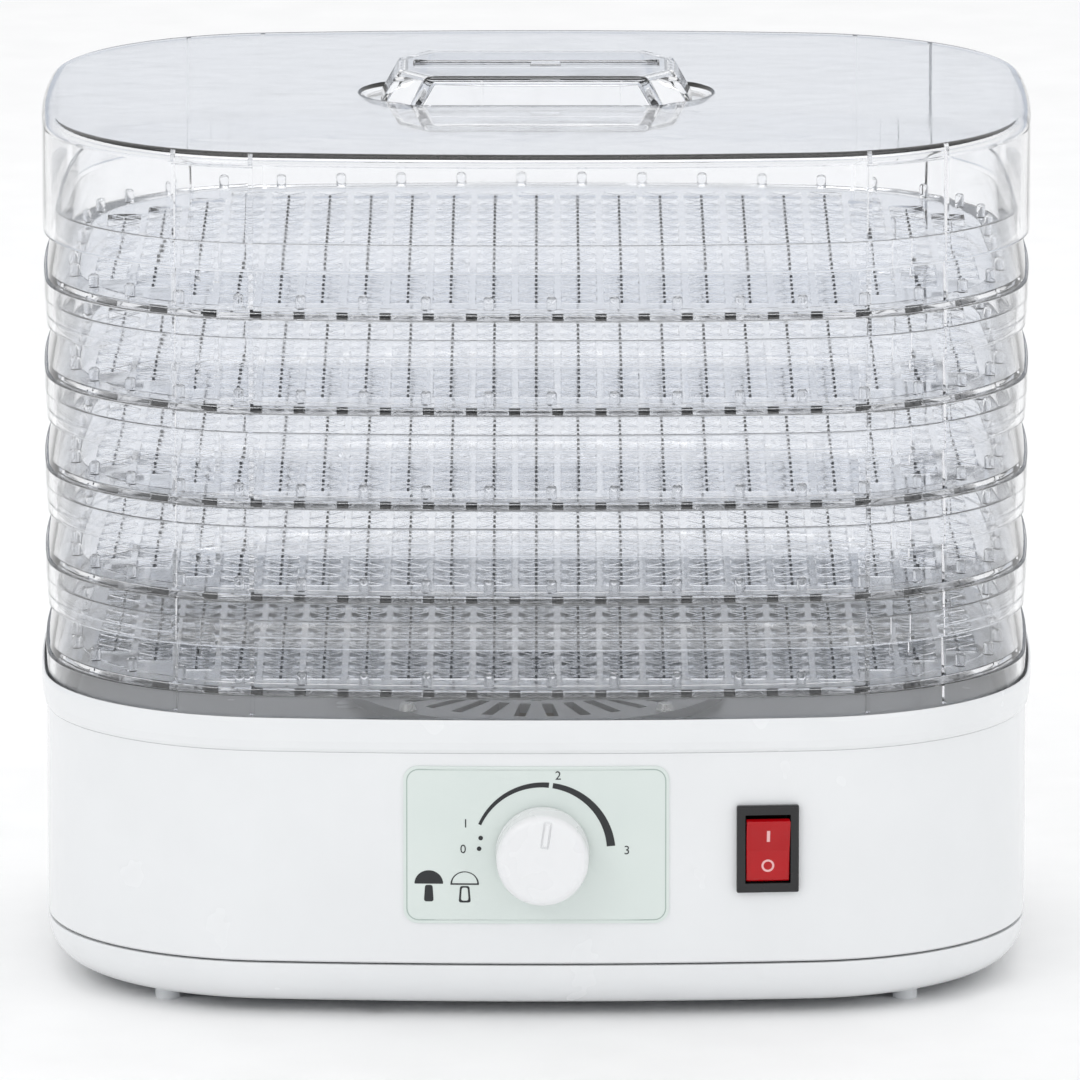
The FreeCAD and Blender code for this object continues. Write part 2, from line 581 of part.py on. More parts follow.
# ---------------------------------------------------------------- motor, fan and heater
def motor():
    """Shaded-pole motor: core, coil, two brackets with bushes, long screws, shaft and rotor."""
    low, tall = "stator_bottom", "stator_height"
    core = box("core_block", ("stator_width", "54", tall), ("-stator_width / 2", "-24", low))
    bore = cylinder("core_bore", "rotor_bore", tall, ("0", "0", low))
    window = box("core_window", ("40", "5.5", tall), ("-20", "16.5", low))
    holes = [cylinder(f"core_hole_{k}", "2.2", tall, (f"{s} * motor_screw_x", "0", low))
             for k, s in enumerate((-1, 1), start=1)]
    notches = [box(f"pole_notch_{k}", ("3", "1.4", tall), (x, y, low))
               for k, (x, y) in enumerate(((-14.6, -8), (11.6, 6.6)), start=1)]
    finish(cut("core", core, fuse("core_cuts", [bore, window] + holes + notches)), "motor_stator")

    winding = box("winding", ("32", "18.5", f"{tall} + 10"), ("-16", "17", f"{low} - 5"))
    leg = box("winding_hole", ("40", "8.4", f"{tall} + 0.4"), ("-20", "21.8", f"{low} - 0.2"))
    finish(cut("coil", winding, leg), "motor_coil")

    for name, face, away in (("lower", low, -1), ("upper", f"{low} + {tall}", 1)):
        strip = new_body(f"bracket_{name}")
        wing = "54" if away < 0 else "31"
        section = [(wing, "0"), (wing, 2 * away), ("18.5", 2 * away), ("14.5", 7 * away),
                   ("-14.5", 7 * away), ("-18.5", 2 * away), (f"-{wing}", 2 * away),
                   (f"-{wing}", "0"), ("-17.5", "0"), ("-13.5", 5 * away), ("13.5", 5 * away),
                   ("17.5", "0")]
        pad(strip, polygon(strip, f"bracket_{name}_section", "XZ_Plane", section),
            "bracket_width", symmetric=True)
        pocket(strip, circle_sketch(strip, f"bush_hole_{name}", "XY_Plane", "4"), "30", True)
        for k, side in enumerate((-1, 1), start=1):
            spot = circle_sketch(strip, f"long_hole_{name}_{k}", "XY_Plane", "2.2",
                                 (f"{side} * motor_screw_x", "0"))
            pocket(strip, spot, "10", True)
            if away < 0:
                spot = circle_sketch(strip, f"wing_hole_{k}", "XY_Plane", "screw_radius + 0.2",
                                     (f"{side * 46}", "0"))
                pocket(strip, spot, "10", True)
        finish(strip, f"motor_bracket_{name}", ("0", "0", face))

    sleeves = []
    for k, height in enumerate((f"{low} - 8", f"{low} + {tall} + 4"), start=1):
        sleeves.append(cut(f"bush_{k}", cylinder(f"bush_body_{k}", "4", "4", ("0", "0", height)),
                           cylinder(f"bush_bore_{k}", "shaft_radius + running_gap", "4",
                                    ("0", "0", height))))
    finish(group("bush_pair", sleeves), "motor_bushes")

    long_screws = []
    for k, side in enumerate((-1, 1), start=1):
        x = f"{side} * motor_screw_x"
        shank = cylinder(f"long_shank_{k}", "2", f"{tall} + 8", (x, "0", f"{low} - 5"))
        head = cylinder(f"long_head_{k}", "3.6", "2.4", (x, "0", f"{low} + {tall} + 2"))
        nut = cylinder(f"long_nut_{k}", "3.6", "2.4", (x, "0", f"{low} - 4.4"))
        long_screws.append(fuse(f"long_screw_{k}", [shank, head, nut]))
    finish(group("long_screw_pair", long_screws), "motor_screws")
    wings = [screw(f"bracket_screw_{k}", x, "0", low, "11")
             for k, x in enumerate((-46, 46), start=1)]
    finish(group("bracket_screw_pair", wings), "bracket_screws")

    finish(group("shaft_group", [cylinder("shaft", "shaft_radius", "46", ("0", "0", "19.5"))]),
           "motor_shaft")
    rotor = cut("rotor", cylinder("rotor_body", "rotor_radius", tall, ("0", "0", low)),
                cylinder("rotor_hole", "shaft_radius", tall, ("0", "0", low)))
    finish(rotor, "motor_rotor")


def fan_impeller():
    """Seven-bladed axial impeller: each blade is a slab pitched about its own radius."""
    hub = cylinder("hub", "hub_radius", "fan_height", ("0", "0", "fan_bottom"))
    pieces = [hub]
    count = 7
    for k in range(count):
        spin = FreeCAD.Rotation(UP, 360 / count * k)
        pitch = FreeCAD.Rotation(V(1, 0, 0), 22)
        middle = spin.multVec(V(value("(fan_radius + hub_radius) / 2"), 0, 0))
        middle.z = value("fan_bottom + fan_height / 2 - 0.8")
        size = ("fan_radius - hub_radius + 4", "26", "1.6")
        pieces.append(turned_box(f"blade_{k + 1}", size, middle, spin.multiply(pitch)))
    solid = fuse("impeller_solid", pieces)
    limit = cylinder("impeller_limit", "fan_radius", "fan_height", ("0", "0", "fan_bottom"))
    trimmed = common("impeller_trimmed", solid, limit)
    bore = cylinder("impeller_bore", "shaft_radius", "fan_height", ("0", "0", "fan_bottom"))
    finish(cut("impeller", trimmed, bore), "fan_impeller")


def heater():
    """Shroud under the outlet, crossed boards, ring element, cutout and fuse."""
    shroud = new_body("shroud")
    inner, outer = "shroud_radius", "shroud_radius + shroud_wall"
    top = "deck_height"
    turned(shroud, "shroud_section", [
        (inner, "shroud_bottom"), (outer, "shroud_bottom"), (outer, f"{top} - 1.2"),
        ("57.2", f"{top} - 1.2"), ("57.2", top), (inner, top)])
    finish(shroud, "heater_shroud")

    rings = (20, 32, 44)
    boards = []
    for name, angle, slot in (("across", 0, "board_bottom + board_height / 2"),
                              ("along", 90, "board_bottom - 1")):
        half = "(shroud_radius - 0.05)"
        plate = box(f"board_{name}_plate", (f"2 * {half}", "1", "board_height"),
                    (f"-{half}", "-0.5", "board_bottom"))
        cuts = [box(f"board_{name}_slot", ("1.1", "3", "board_height / 2 + 1"), ("-0.55", "-1.5", slot))]
        for radius in rings:
            for side in (-1, 1):
                cuts.append(box(f"notch_{name}_{radius}_{side + 1}", ("3.6", "3", "5"),
                                (side * radius - 1.8, "-1.5", "element_height - 1.7")))
        board = cut(f"board_{name}", plate, fuse(f"board_{name}_cuts", cuts))
        board.Placement = FreeCAD.Placement(V(), FreeCAD.Rotation(UP, angle))
        boards.append(board)
    finish(group("board_pair", boards), "heater_boards")

    loops = []
    for radius in rings:
        loop = doc.addObject("Part::Torus", f"element_ring_{radius}")
        loop.Radius1 = radius
        bind(loop, Radius2="element_radius")
        loops.append(put(loop, ("0", "0", "element_height")))
    link = cylinder("element_link", "element_radius * 0.6", rings[-1] - rings[0],
                    (f"{rings[0]} * cos(45)", f"{rings[0]} * sin(45)", "element_height"), V(1, 1, 0))
    finish(fuse("element", loops + [link]), "heater_coil")

    disc = cylinder("cutout_can", "8", "6", ("72", "10", f"{top} - 7.5"))
    flange = cylinder("cutout_flange", "10", "1.5", ("72", "10", f"{top} - 1.5"))
    tabs = [box(f"cutout_tab_{k}", ("0.8", "6.3", "9"), (x, "6.85", f"{top} - 16.5"))
            for k, x in enumerate(("67.6", "75.6"), start=1)]
    finish(fuse("cutout", [disc, flange] + tabs), "thermal_cutout")
    fuse_can = cylinder("fuse_can", "2", "11", ("66.5", "-18", f"{top} - 3"), V(1, 0, 0))
    leads = cylinder("fuse_leads", "0.5", "29", ("57.5", "-18", f"{top} - 3"), V(1, 0, 0))
    clip = box("fuse_clip", ("3", "7", "1.5"), ("70.5", "-21.5", f"{top} - 1.5"))
    finish(fuse("fuse", [fuse_can, leads, clip]), "thermal_fuse")


def connections():
    """Cord inlet bush, terminal block and the four wires inside the base."""
    rear = "half_depth - shell_inset"
    gland = fuse("gland_solid", [
        cylinder("gland_flange", "inlet_radius + 5.5", "2", ("0", rear, "inlet_height"), V(0, 1, 0)),
        cylinder("gland_barrel", "inlet_radius + 3", "12", ("0", f"{rear} - 10", "inlet_height"),
                 V(0, 1, 0)),
        cylinder("gland_collar", "inlet_radius + 5", "4", ("0", f"{rear} - 7.6", "inlet_height"),
                 V(0, 1, 0))])
    bore = cylinder("gland_bore", "inlet_radius", "20", ("0", f"{rear} - 14", "inlet_height"),
                    V(0, 1, 0))
    finish(cut("gland", gland, bore), "cord_gland")

    floor = "foot_height + pan_wall"
    block = box("block_body", ("36", "16", "13"), ("-18", "72", floor))
    wells = [cylinder(f"block_well_{k}", "2.4", "9", (x, "80", f"{floor} + 6"))
             for k, x in enumerate((-12, 0, 12), start=1)]
    entries = [cylinder(f"block_entry_{k}", "1.6", "20", (x, "70", f"{floor} + 5"), V(0, 1, 0))
               for k, x in enumerate((-12, 0, 12), start=1)]
    finish(cut("block", block, fuse("block_cuts", wells + entries)), "terminal_block")

    back = -value("half_depth - shell_inset - shell_wall")
    live_y, low = back + 30, value("foot_height + pan_wall") + 5
    switch_y = -surface_depth("switch_x") + value("switch_depth") + 11
    lower, upper = value("switch_height - 8.4"), value("switch_height + 7.6")
    wire("wire_live", [(12, 71.8, low), (12, 62, low), (78, 46, low + 6), (98, 0, low + 12),
                       (92, -60, 34), (77.2, switch_y + 4, lower), (76.4, switch_y - 1, lower)])
    wire("wire_neutral", [(-12, 71.8, low), (-12, 60, low), (-36, 54, low + 8), (-44, 56, 34),
                          (-28, 52, 45), (-12, 45, 44), (-10, 36.7, 40)])
    wire("wire_control", [(72.6, switch_y + 1, upper), (66, switch_y + 8, 62), (40, -78, 56),
                          (18, live_y + 6, 62.4), (9.8, live_y + 2.2, 62.4)])
    wire("wire_heater", [(-6.4, live_y + 1.8, 62.4), (-14, live_y + 10, 62), (-40, -66, 50),
                         (-62, -34, 56), (-66, 0, 70), (-62, 4, 74), (-55.4, 4, 74)])


def wire(name, points, bend=6):
    """Round wire along straight runs joined by tangent arcs."""
    knots = [V(*point) for point in points]
    edges, start = [], knots[0]
    for before, knot, after in zip(knots, knots[1:], knots[2:]):
        back, ahead = (before - knot).normalize(), (after - knot).normalize()
        half = back.getAngle(ahead) / 2
        reach = min(bend / math.tan(half), 0.45 * (before - knot).Length, 0.45 * (after - knot).Length)
        middle = (back + ahead).normalize()
        radius = reach * math.tan(half)
        centre = knot + middle * (reach / math.cos(half))
        first, last = knot + back * reach, knot + ahead * reach
        edges.append(Part.LineSegment(start, first).toShape())
        edges.append(Part.Arc(first, centre - middle * radius, last).toShape())
        start = last
    edges.append(Part.LineSegment(start, knots[-1]).toShape())
    path = Part.Wire(edges)
    section = Part.Wire(Part.makeCircle(value("wire_radius"), knots[0], knots[1] - knots[0]))
    tube = doc.addObject("Part::Feature", name)
    tube.Shape = path.makePipeShell([section], True, True)
    finish(tube, name)


# ---------------------------------------------------------------- trays and lid
def panel_masks(name, width, steps=("0",)):
    """Blocks that limit a swept section to strips at each of the four panels."""
    blocks = []
    for k, (centre, side) in enumerate((("panel_left", -1), ("panel_right", -1),
                                        ("panel_left", 1), ("panel_right", 1)), start=1):
        low = "-half_depth - 5" if side < 0 else "half_depth - 45"
        for j, step in enumerate(steps, start=1):
            at = (f"{centre} - ({width}) / 2 + ({step})", low, "-5")
            blocks.append(box(f"{name}_mask_{k}_{j}", (width, "50", "60"), at))
    return fuse(name + "_masks", blocks)


def raised_panels(name, top, outer="half_width"):
    """Thin pads that stand proud of the skirt, with upright edges."""
    body = new_body(name + "_pads")
    ring(body, name + "_pad", [(f"{outer} - 1", "0.5"), (f"{outer} + panel_step", "0.5"),
                               (f"{outer} + panel_step", top), (f"{outer} - 1", top)])
    return common(name + "_panels", body, panel_masks(name, "panel_width"))


def ribs(name, section, steps):
    """Upright ribs on the inside of a wall, at the given places in each panel."""
    body = new_body(name + "_rib_ring")
    ring(body, name + "_rib", section)
    return common(name + "_ribs", body, panel_masks(name + "_rib", "rib_width", steps))


EDGE_RIBS = ("panel_width / 2 - rib_width / 2", "rib_width / 2 - panel_width / 2")
MIDDLE_RIBS = ("rib_spacing / 2 - 3", "-rib_spacing / 2")


def tray_ribs(name):
    """Tall ribs at the panels' edges, short ones between, and gussets that sit on the rim below."""
    floor, step = "tray_ledge + floor_thickness", "tray_rim - tray_pitch"
    inner = "half_width - 4.6 - rib_depth"
    tall = [("half_width - 2.6", floor), ("half_width - 4.4", "tray_pitch - 0.4"),
            ("half_width - 4.4", "tray_rim"), (inner, "tray_rim"), (inner, floor)]
    short = [("half_width - 4.4", "short_rib_foot"), ("half_width - 4.4", "tray_rim"),
             (inner, "tray_rim"), (inner, "short_rib_foot")]
    gusset = [("half_width - 1.9", step), ("half_width - 1.9", "tray_ledge + 0.3"),
              ("half_width - floor_inset", "tray_ledge + 0.3"), ("half_width - floor_inset", step)]
    return [ribs(name + "_tall", tall, EDGE_RIBS), ribs(name + "_short", short, MIDDLE_RIBS),
            ribs(name + "_gusset", gusset, EDGE_RIBS)]


def tray_frames():
    """Clear tray walls: stepped skirt, ledge, inward-sloping wall and the rim that nests above."""
    wall = new_body("tray_wall")
    edge, step = "half_width", "tray_rim - tray_pitch"
    ring(wall, "tray", [
        (edge + " - 2.3", "0"), (edge + " - 0.9", "0"), (edge + " - 0.6", "0.4"),
        (edge + " - 0.6", "3.6"), (edge + " - 0.3", "3.9"), (edge + " - 0.3", step), (edge, step),
        (edge, "tray_ledge"), (edge + " - 0.9", "tray_ledge"), (edge + " - 0.9", "tray_ledge + 0.8"),
        (edge + " - 3.4", "tray_pitch - 0.4"), (edge + " - 3.4", "tray_rim"),
        (edge + " - 4.9", "tray_rim"), (edge + " - 5", "tray_pitch - 0.4"),
        (edge + " - 3.1", "tray_ledge + floor_thickness"),
        (edge + " - floor_inset", "tray_ledge + floor_thickness"),
        (edge + " - floor_inset", "tray_ledge"), (edge + " - 2.3", "tray_ledge - 0.4")])
    panels = raised_panels("tray", "tray_ledge")
    master = fuse("tray_master", [wall, panels] + tray_ribs("tray"))
    for number in TRAYS:
        finish(group(f"frame_{number}", [master]), f"tray_{number}_frame",
               ("0", "0", tray_foot(number)))


def floor_cells():
    """Square openings of a tray floor: those that lie wholly inside its border."""
    limit_body = new_body("cell_limit")
    limit = outline(limit_body, "cell_outline", "grid_border")
    doc.recompute()
    face = Part.Face(limit.Shape.Wires[0])
    pitch, size = value("cell_pitch"), value("cell_pitch - bar_width")
    cells = []
    for i in range(-12, 13):
        for j in range(-9, 10):
            x, y = i * pitch - size / 2, j * pitch - size / 2
            corners = [V(x + a * size, y + b * size, 0) for a in (0, 1) for b in (0, 1)]
            if all(face.isInside(corner, 0.01, True) for corner in corners):
                cells.append(Part.makeBox(size, size, 10, V(x, y, -5)))
    openings = doc.addObject("Part::Feature", "floor_openings")
    openings.Shape = Part.makeCompound(cells)
    return openings


def tray_grids():
    """Pierced floors, one for each tray."""
    plate = new_body("grid_plate")
    pad(plate, outline(plate, "grid_outline", "floor_inset"), "floor_thickness")
    master = cut("grid_master", plate, floor_cells())
    for number in TRAYS:
        finish(group(f"grid_{number}", [master]), f"tray_{number}_grid",
               ("0", "0", tray_foot(number) + " + tray_ledge"))


def tray_pegs():
    """Short round pegs that stand all round the border of each tray's floor."""
    path_body = new_body("peg_path")
    path = outline(path_body, "peg_outline", "peg_inset")
    doc.recompute()
    spots = path.Shape.Wires[0].discretize(Number=int(value("peg_count")) + 1)[:-1]
    pegs = [cylinder(f"peg_{k}", "peg_radius", "peg_height", (spot.x, spot.y, "0"))
            for k, spot in enumerate(spots, start=1)]
    master = group("peg_master", pegs)
    for number in TRAYS:
        finish(group(f"pegs_{number}", [master]), f"tray_{number}_pegs",
               ("0", "0", tray_foot(number) + " + tray_ledge + floor_thickness"))


def tray_foot(number):
    return f"seat_height + {number - 1} * tray_pitch"


def octagon(body, name, ends, sides, height):
    """Long rectangle with cut corners, its ends and sides moved in from the grip's foot."""
    half_x, half_y = f"grip_length / 2 - ({ends})", f"grip_depth / 2 - ({sides})"
    quarter = [(half_x, f"{half_y} - grip_corner"), (f"{half_x} - grip_corner * 0.7", half_y)]
    points = quarter + [(f"-({x})", y) for x, y in reversed(quarter)]
    points += [(f"-({x})", f"-({y})") for x, y in quarter]
    points += [(x, f"-({y})") for x, y in reversed(quarter)]
    return polygon(body, name, "XY_Plane", points, height)


def frustum(name, shrink, low, high):
    """Eight-sided block between two heights, its ends sloping inwards more than its sides."""
    body = new_body(name)
    base = octagon(body, name + "_foot", shrink, shrink, low)
    top = octagon(body, name + "_top", f"{shrink} + grip_end_slope", f"{shrink} + grip_side_slope",
                  high)
    doc.recompute()
    loft = body.newObject("PartDesign::AdditiveLoft", name + "_loft")
    loft.Profile = base
    loft.Sections = [top]
    loft.Ruled = True
    doc.recompute()
    return body


def lid():
    """Clear lid: rounded box open below with two finger wells, and the hollow slotted grip."""
    shell = new_body("lid_shell")
    edge, top, wall = "half_width + 0.4", "lid_height", "lid_wall"
    block = pad(shell, outline(shell, "lid_outline", "-0.4", "0"), top)
    high = value(top)
    round_edges(shell, block, "lid_rounding", lambda e: e.BoundBox.ZMin > high - 0.01)
    inside = new_body("lid_inside")
    space = pad(inside, outline(inside, "lid_space", f"{wall} - 0.4", "-1"), f"{top} - {wall} + 1")
    ceiling = value(f"{top} - {wall}")
    round_edges(inside, space, f"lid_rounding - {wall} + 0.4",
                lambda e: e.BoundBox.ZMin > ceiling - 0.01)
    grip = frustum("grip_outer", "0", f"{top} - scoop_drop", f"{top} + grip_height")
    hollow = frustum("grip_inner", wall, f"{top} - 6", f"{top} + grip_height - {wall}")
    wells, cups = [], []
    for side, word in ((-1, "left"), (1, "right")):
        x = f"{side} * scoop_x"
        cups.append(cone(f"cup_{word}", "scoop_radius - 3", "scoop_radius + 0.5",
                         f"scoop_drop + {wall}", (x, "0", f"{top} - scoop_drop - {wall}")))
        wells.append(cone(f"well_{word}", "scoop_radius - 4", "scoop_radius - 0.5",
                          "scoop_drop + 0.02", (x, "0", f"{top} - scoop_drop")))
    slots = []
    for k in range(-2, 3):
        lean = FreeCAD.Rotation(V(1, 0, 0), 25)
        foot = V(0, k * 5.2, value(f"{top} + 0.6"))
        slots.append(turned_box(f"vent_{k + 3}", ("120", "2.4", "grip_height - 3.4"), foot, lean))
    cupped = fuse("lid_cupped", [cut("lid_box", shell, inside)] + cups)
    dished = cut("lid_dished", cupped, fuse("lid_wells", wells))
    opened = cut("lid_open", dished, hollow)
    panels = raised_panels("lid", f"{top} - lid_rounding", "half_width + 0.4")
    step, ceiling = "tray_rim - tray_pitch", f"{top} - {wall} + 0.3"
    section = [("half_width - 1.4", step), ("half_width - 1.4", ceiling),
               ("half_width - floor_inset", ceiling), ("half_width - floor_inset", step)]
    solid = fuse("lid_whole", [opened, panels, ribs("lid_wall", section, EDGE_RIBS)])
    finish(solid, "lid", ("0", "0", tray_foot(6)))
    bare = cut("grip_bare", cut("grip_slotted", grip, fuse("grip_cuts", [hollow] + slots)), dished)
    finish(bare, "lid_grip", ("0", "0", tray_foot(6)))


# ---------------------------------------------------------------- build, check and write
def build():
    bottom_pan()
    body_shell()
    top_deck()
    fan_grille()
    fixings()
    control_label()
    control_knob()
    thermostat()
    power_switch()
    motor()
    fan_impeller()
    heater()
    connections()
    tray_frames()
    tray_grids()
    tray_pegs()
    lid()
    doc.recompute()


def check():
    """Stop on any failed object or bad shape."""
    for thing in doc.Objects:
        if "Invalid" in thing.State or "Error" in thing.State:
            raise RuntimeError(f"{thing.Name} failed: {thing.State}")
    for part in SUBPARTS:
        if part.Shape.isNull() or not part.Shape.isValid():
            raise RuntimeError(f"{part.Label} has a bad shape")
        if part.Shape.Volume < 1:
            raise RuntimeError(f"{part.Label} is empty")


def write():
    os.makedirs("parts", exist_ok=True)
    for part in SUBPARTS:
        part.Shape.exportStep(f"parts/{part.Label}.step")


build()
check()
write()
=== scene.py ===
"""Looks of a five-tray food dehydrator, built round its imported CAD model.

Meshes are drawn in millimetres about the fan's axis, which stands at CENTRE_Y in the frame, and
are scaled to metres when they are finished. Z is up and the controls face -Y.
"""
import json
import math
import bmesh
import bpy
from mathutils import Matrix, Vector
from mathutils.geometry import delaunay_2d_cdt


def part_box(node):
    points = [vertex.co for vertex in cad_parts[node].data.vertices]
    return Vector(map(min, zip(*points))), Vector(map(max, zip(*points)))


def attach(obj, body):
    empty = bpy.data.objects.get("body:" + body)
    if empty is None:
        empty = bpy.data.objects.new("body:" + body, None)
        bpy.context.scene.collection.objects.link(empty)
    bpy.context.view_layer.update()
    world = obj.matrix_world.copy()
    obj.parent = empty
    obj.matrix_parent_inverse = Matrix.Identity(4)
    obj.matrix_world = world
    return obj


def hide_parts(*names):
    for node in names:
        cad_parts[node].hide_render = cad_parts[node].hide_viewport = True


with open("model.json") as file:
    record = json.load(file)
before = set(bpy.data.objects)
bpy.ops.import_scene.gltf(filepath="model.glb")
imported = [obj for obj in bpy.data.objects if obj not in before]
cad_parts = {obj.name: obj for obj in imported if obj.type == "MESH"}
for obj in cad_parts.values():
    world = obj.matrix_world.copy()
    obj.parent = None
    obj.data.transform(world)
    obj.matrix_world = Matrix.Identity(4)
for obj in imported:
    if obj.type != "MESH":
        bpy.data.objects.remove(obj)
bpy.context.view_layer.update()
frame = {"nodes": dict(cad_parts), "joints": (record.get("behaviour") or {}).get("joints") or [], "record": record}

MM = 0.001

# ---------------------------------------------------------------- sizes, from the frame
SHELL_LOW, SHELL_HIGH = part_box("body_shell")
SHELL_INSET = 0.2                            # the housing's wall lies this far inside the outline
HALF_WIDTH = SHELL_HIGH.x / MM + SHELL_INSET
HALF_DEPTH = (SHELL_HIGH.y - SHELL_LOW.y) / MM / 2 + SHELL_INSET
CENTRE_Y = (SHELL_HIGH.y + SHELL_LOW.y) / 2
FRONT_RADIUS, SIDE_RADIUS, CORNER_RADIUS = 900, 700, 78
LABEL_LOW, LABEL_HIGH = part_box("control_label")
KNOB_LOW, KNOB_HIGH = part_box("control_knob")
KNOB_X = (KNOB_LOW.x + KNOB_HIGH.x) / 2 / MM
KNOB_Z = (KNOB_LOW.z + KNOB_HIGH.z) / 2 / MM
LABEL_RADIUS = FRONT_RADIUS - SHELL_INSET + 0.5
TRAYS = range(1, 6)
JOINTS = {joint["name"]: joint for joint in frame["joints"]}
SLOTS = {part["node"]: part["material_slot"] for part in frame["record"]["subparts"]}

# tray levels above its own foot, its pegs, and the panels and ribs on its long sides
LEDGE, FLOOR_TOP, RIM, STEP = 15.3, 17.3, 39.35, 8.8
FLOOR_INSET, CELL_PITCH, BAR, BRACE = 11.15, 13.667, 2.0, 1.1
PANELS, PANEL_HALF, RIB_HALF = (-103, 118), 13, 0.75
EDGE_RIBS = (-PANEL_HALF + RIB_HALF, PANEL_HALF - RIB_HALF)
MIDDLE_RIBS = (-4.5, 1.5)
PEG_COUNT, PEG_INSET = 46, 8.8
LID_TOP, LID_WALL, LID_ROUNDING = 38.1, 2.2, 4.0
GRIP_HALF_LENGTH, GRIP_HALF_DEPTH, GRIP_TOP, GRIP_CORNER = 51, 27.5, LID_TOP + 9.2, 13
GRIP_END_SLOPE, GRIP_SIDE_SLOPE = 6.5, 1.5
WELL_X, WELL_RADIUS, WELL_DROP = 33, 25.5, 2.2

# base: height of the deck's plate, its outlet and the ring of grille screws
DECK_LOW, DECK_HIGH = 80, 82.5
OUTLET_RADIUS, SCREW_CIRCLE, SCREW_RADIUS = 56, 59, 1.6
COIL_RINGS, COIL_PITCH, COIL_RADIUS, COIL_WIRE = (20, 32, 44), 2.6, 1.1, 0.35

# front controls: the dial, its printed scale, and how far ink goes into and stands off the label
KNOB_RADIUS, KNOB_HEIGHT, KNOB_GAP, KNOB_REST = 15.0, 14.9, 0.6, -8
SCALE_RADIUS, DOT_RADIUS = 22.0, 20.3
INK_LOW, INK_HIGH = -0.03, 0.06
BEZEL = (20, 28.5, 2.2)
SWITCH_CASE = (18, 26, 22.6)
ROCKER_HALF_WIDTH, ROCKER_HALF_LENGTH, ROCKER_TILT = 7, 10.3, 10


# ---------------------------------------------------------------- plan outline
def corner_centre():
    """Centre of the corner arc that touches both the front and the side arc."""
    front, side = FRONT_RADIUS - CORNER_RADIUS, SIDE_RADIUS - CORNER_RADIUS
    drop, reach = FRONT_RADIUS - HALF_DEPTH, HALF_WIDTH - SIDE_RADIUS
    apart = math.hypot(drop, reach)
    along = (front ** 2 - side ** 2 + apart ** 2) / (2 * apart)
    across = math.sqrt(front ** 2 - along ** 2)
    return ((along * reach + across * drop) / apart,
            -drop + (along * drop - across * reach) / apart)


CORNER_X, CORNER_Y = corner_centre()


def outline_spots():
    """Places round the outline, anticlockwise from the right: centre, radius and angle of each."""
    drop, reach = FRONT_RADIUS - HALF_DEPTH, SIDE_RADIUS - HALF_WIDTH
    side_angle = math.atan2(CORNER_Y, CORNER_X + reach)
    front_angle = math.atan2(CORNER_Y + drop, CORNER_X)
    half = [(-reach, 0, SIDE_RADIUS, -side_angle, side_angle, 20),
            (CORNER_X, CORNER_Y, CORNER_RADIUS, side_angle, front_angle, 24),
            (0, -drop, FRONT_RADIUS, front_angle, math.pi - front_angle, 26),
            (-CORNER_X, CORNER_Y, CORNER_RADIUS, math.pi - front_angle, math.pi - side_angle, 24)]
    spots = []
    for sign, turn in ((1, 0), (-1, math.pi)):
        for x, y, radius, first, last, steps in half:
            for k in range(steps):
                angle = first + (last - first) * k / steps + turn
                spots.append((sign * x, sign * y, radius, angle))
    return spots


SPOTS = outline_spots()


def loop_at(grow):
    """Points of the outline moved outwards by `grow`."""
    return [(x + (radius + grow) * math.cos(angle), y + (radius + grow) * math.sin(angle))
            for x, y, radius, angle in SPOTS]


def depth_at(x, grow):
    """Distance of the outline's long side from the middle, at a given x."""
    if abs(x) > CORNER_X * (FRONT_RADIUS / (FRONT_RADIUS - CORNER_RADIUS)):
        return CORNER_Y + math.sqrt((CORNER_RADIUS + grow) ** 2 - (abs(x) - CORNER_X) ** 2)
    return math.sqrt((FRONT_RADIUS + grow) ** 2 - x ** 2) - (FRONT_RADIUS - HALF_DEPTH)


# ---------------------------------------------------------------- mesh helpers
def soften(corners, radius, steps=3, closed=True):
    """Round the corners of a polygon with arcs of up to `radius`."""
    result = []
    count = len(corners)
    for k, corner in enumerate(corners):
        here = Vector(corner)
        if not closed and k in (0, count - 1):
            result.append(tuple(here))
            continue
        before, after = Vector(corners[k - 1]) - here, Vector(corners[(k + 1) % count]) - here
        half = before.angle(after) / 2
        reach = min(radius / math.tan(half), 0.42 * before.length, 0.42 * after.length)
        if half > math.radians(88):
            result.append(tuple(here))
            continue
        start, end = here + before.normalized() * reach, here + after.normalized() * reach
        for j in range(steps + 1):
            t = j / steps
            result.append(tuple(start * (1 - t) ** 2 + here * (2 * t * (1 - t)) + end * t ** 2))
    return result


def mesh_from(name, points, faces):
    mesh = bpy.data.meshes.new(name)
    mesh.from_pydata(points, [], faces)
    work = bmesh.new()
    work.from_mesh(mesh)
    bmesh.ops.remove_doubles(work, verts=work.verts, dist=0.0005)
    bmesh.ops.recalc_face_normals(work, faces=work.faces)
    work.to_mesh(mesh)
    work.free()
    return mesh


def rings_mesh(name, loops, closed):
    """Skin over a list of point loops; the first and last are capped unless the skin closes."""
    size = len(loops[0])
    points = [point for loop in loops for point in loop]
    faces = []
    pairs = len(loops) if closed else len(loops) - 1
    for k in range(pairs):
        low, high = k * size, (k + 1) % len(loops) * size
        for j in range(size):
            after = (j + 1) % size
            faces.append((low + j, low + after, high + after, high + j))
    if not closed:
        faces.append(tuple(reversed(range(size))))
        faces.append(tuple(range(size * (len(loops) - 1), size * len(loops))))
    return mesh_from(name, points, faces)


def sweep(name, section, closed=True):
    """Sweep a section of (grow, height) points round the outline."""
    loops = [[(x, y, z) for x, y in loop_at(grow)] for grow, z in section]
    return rings_mesh(name, loops, closed)


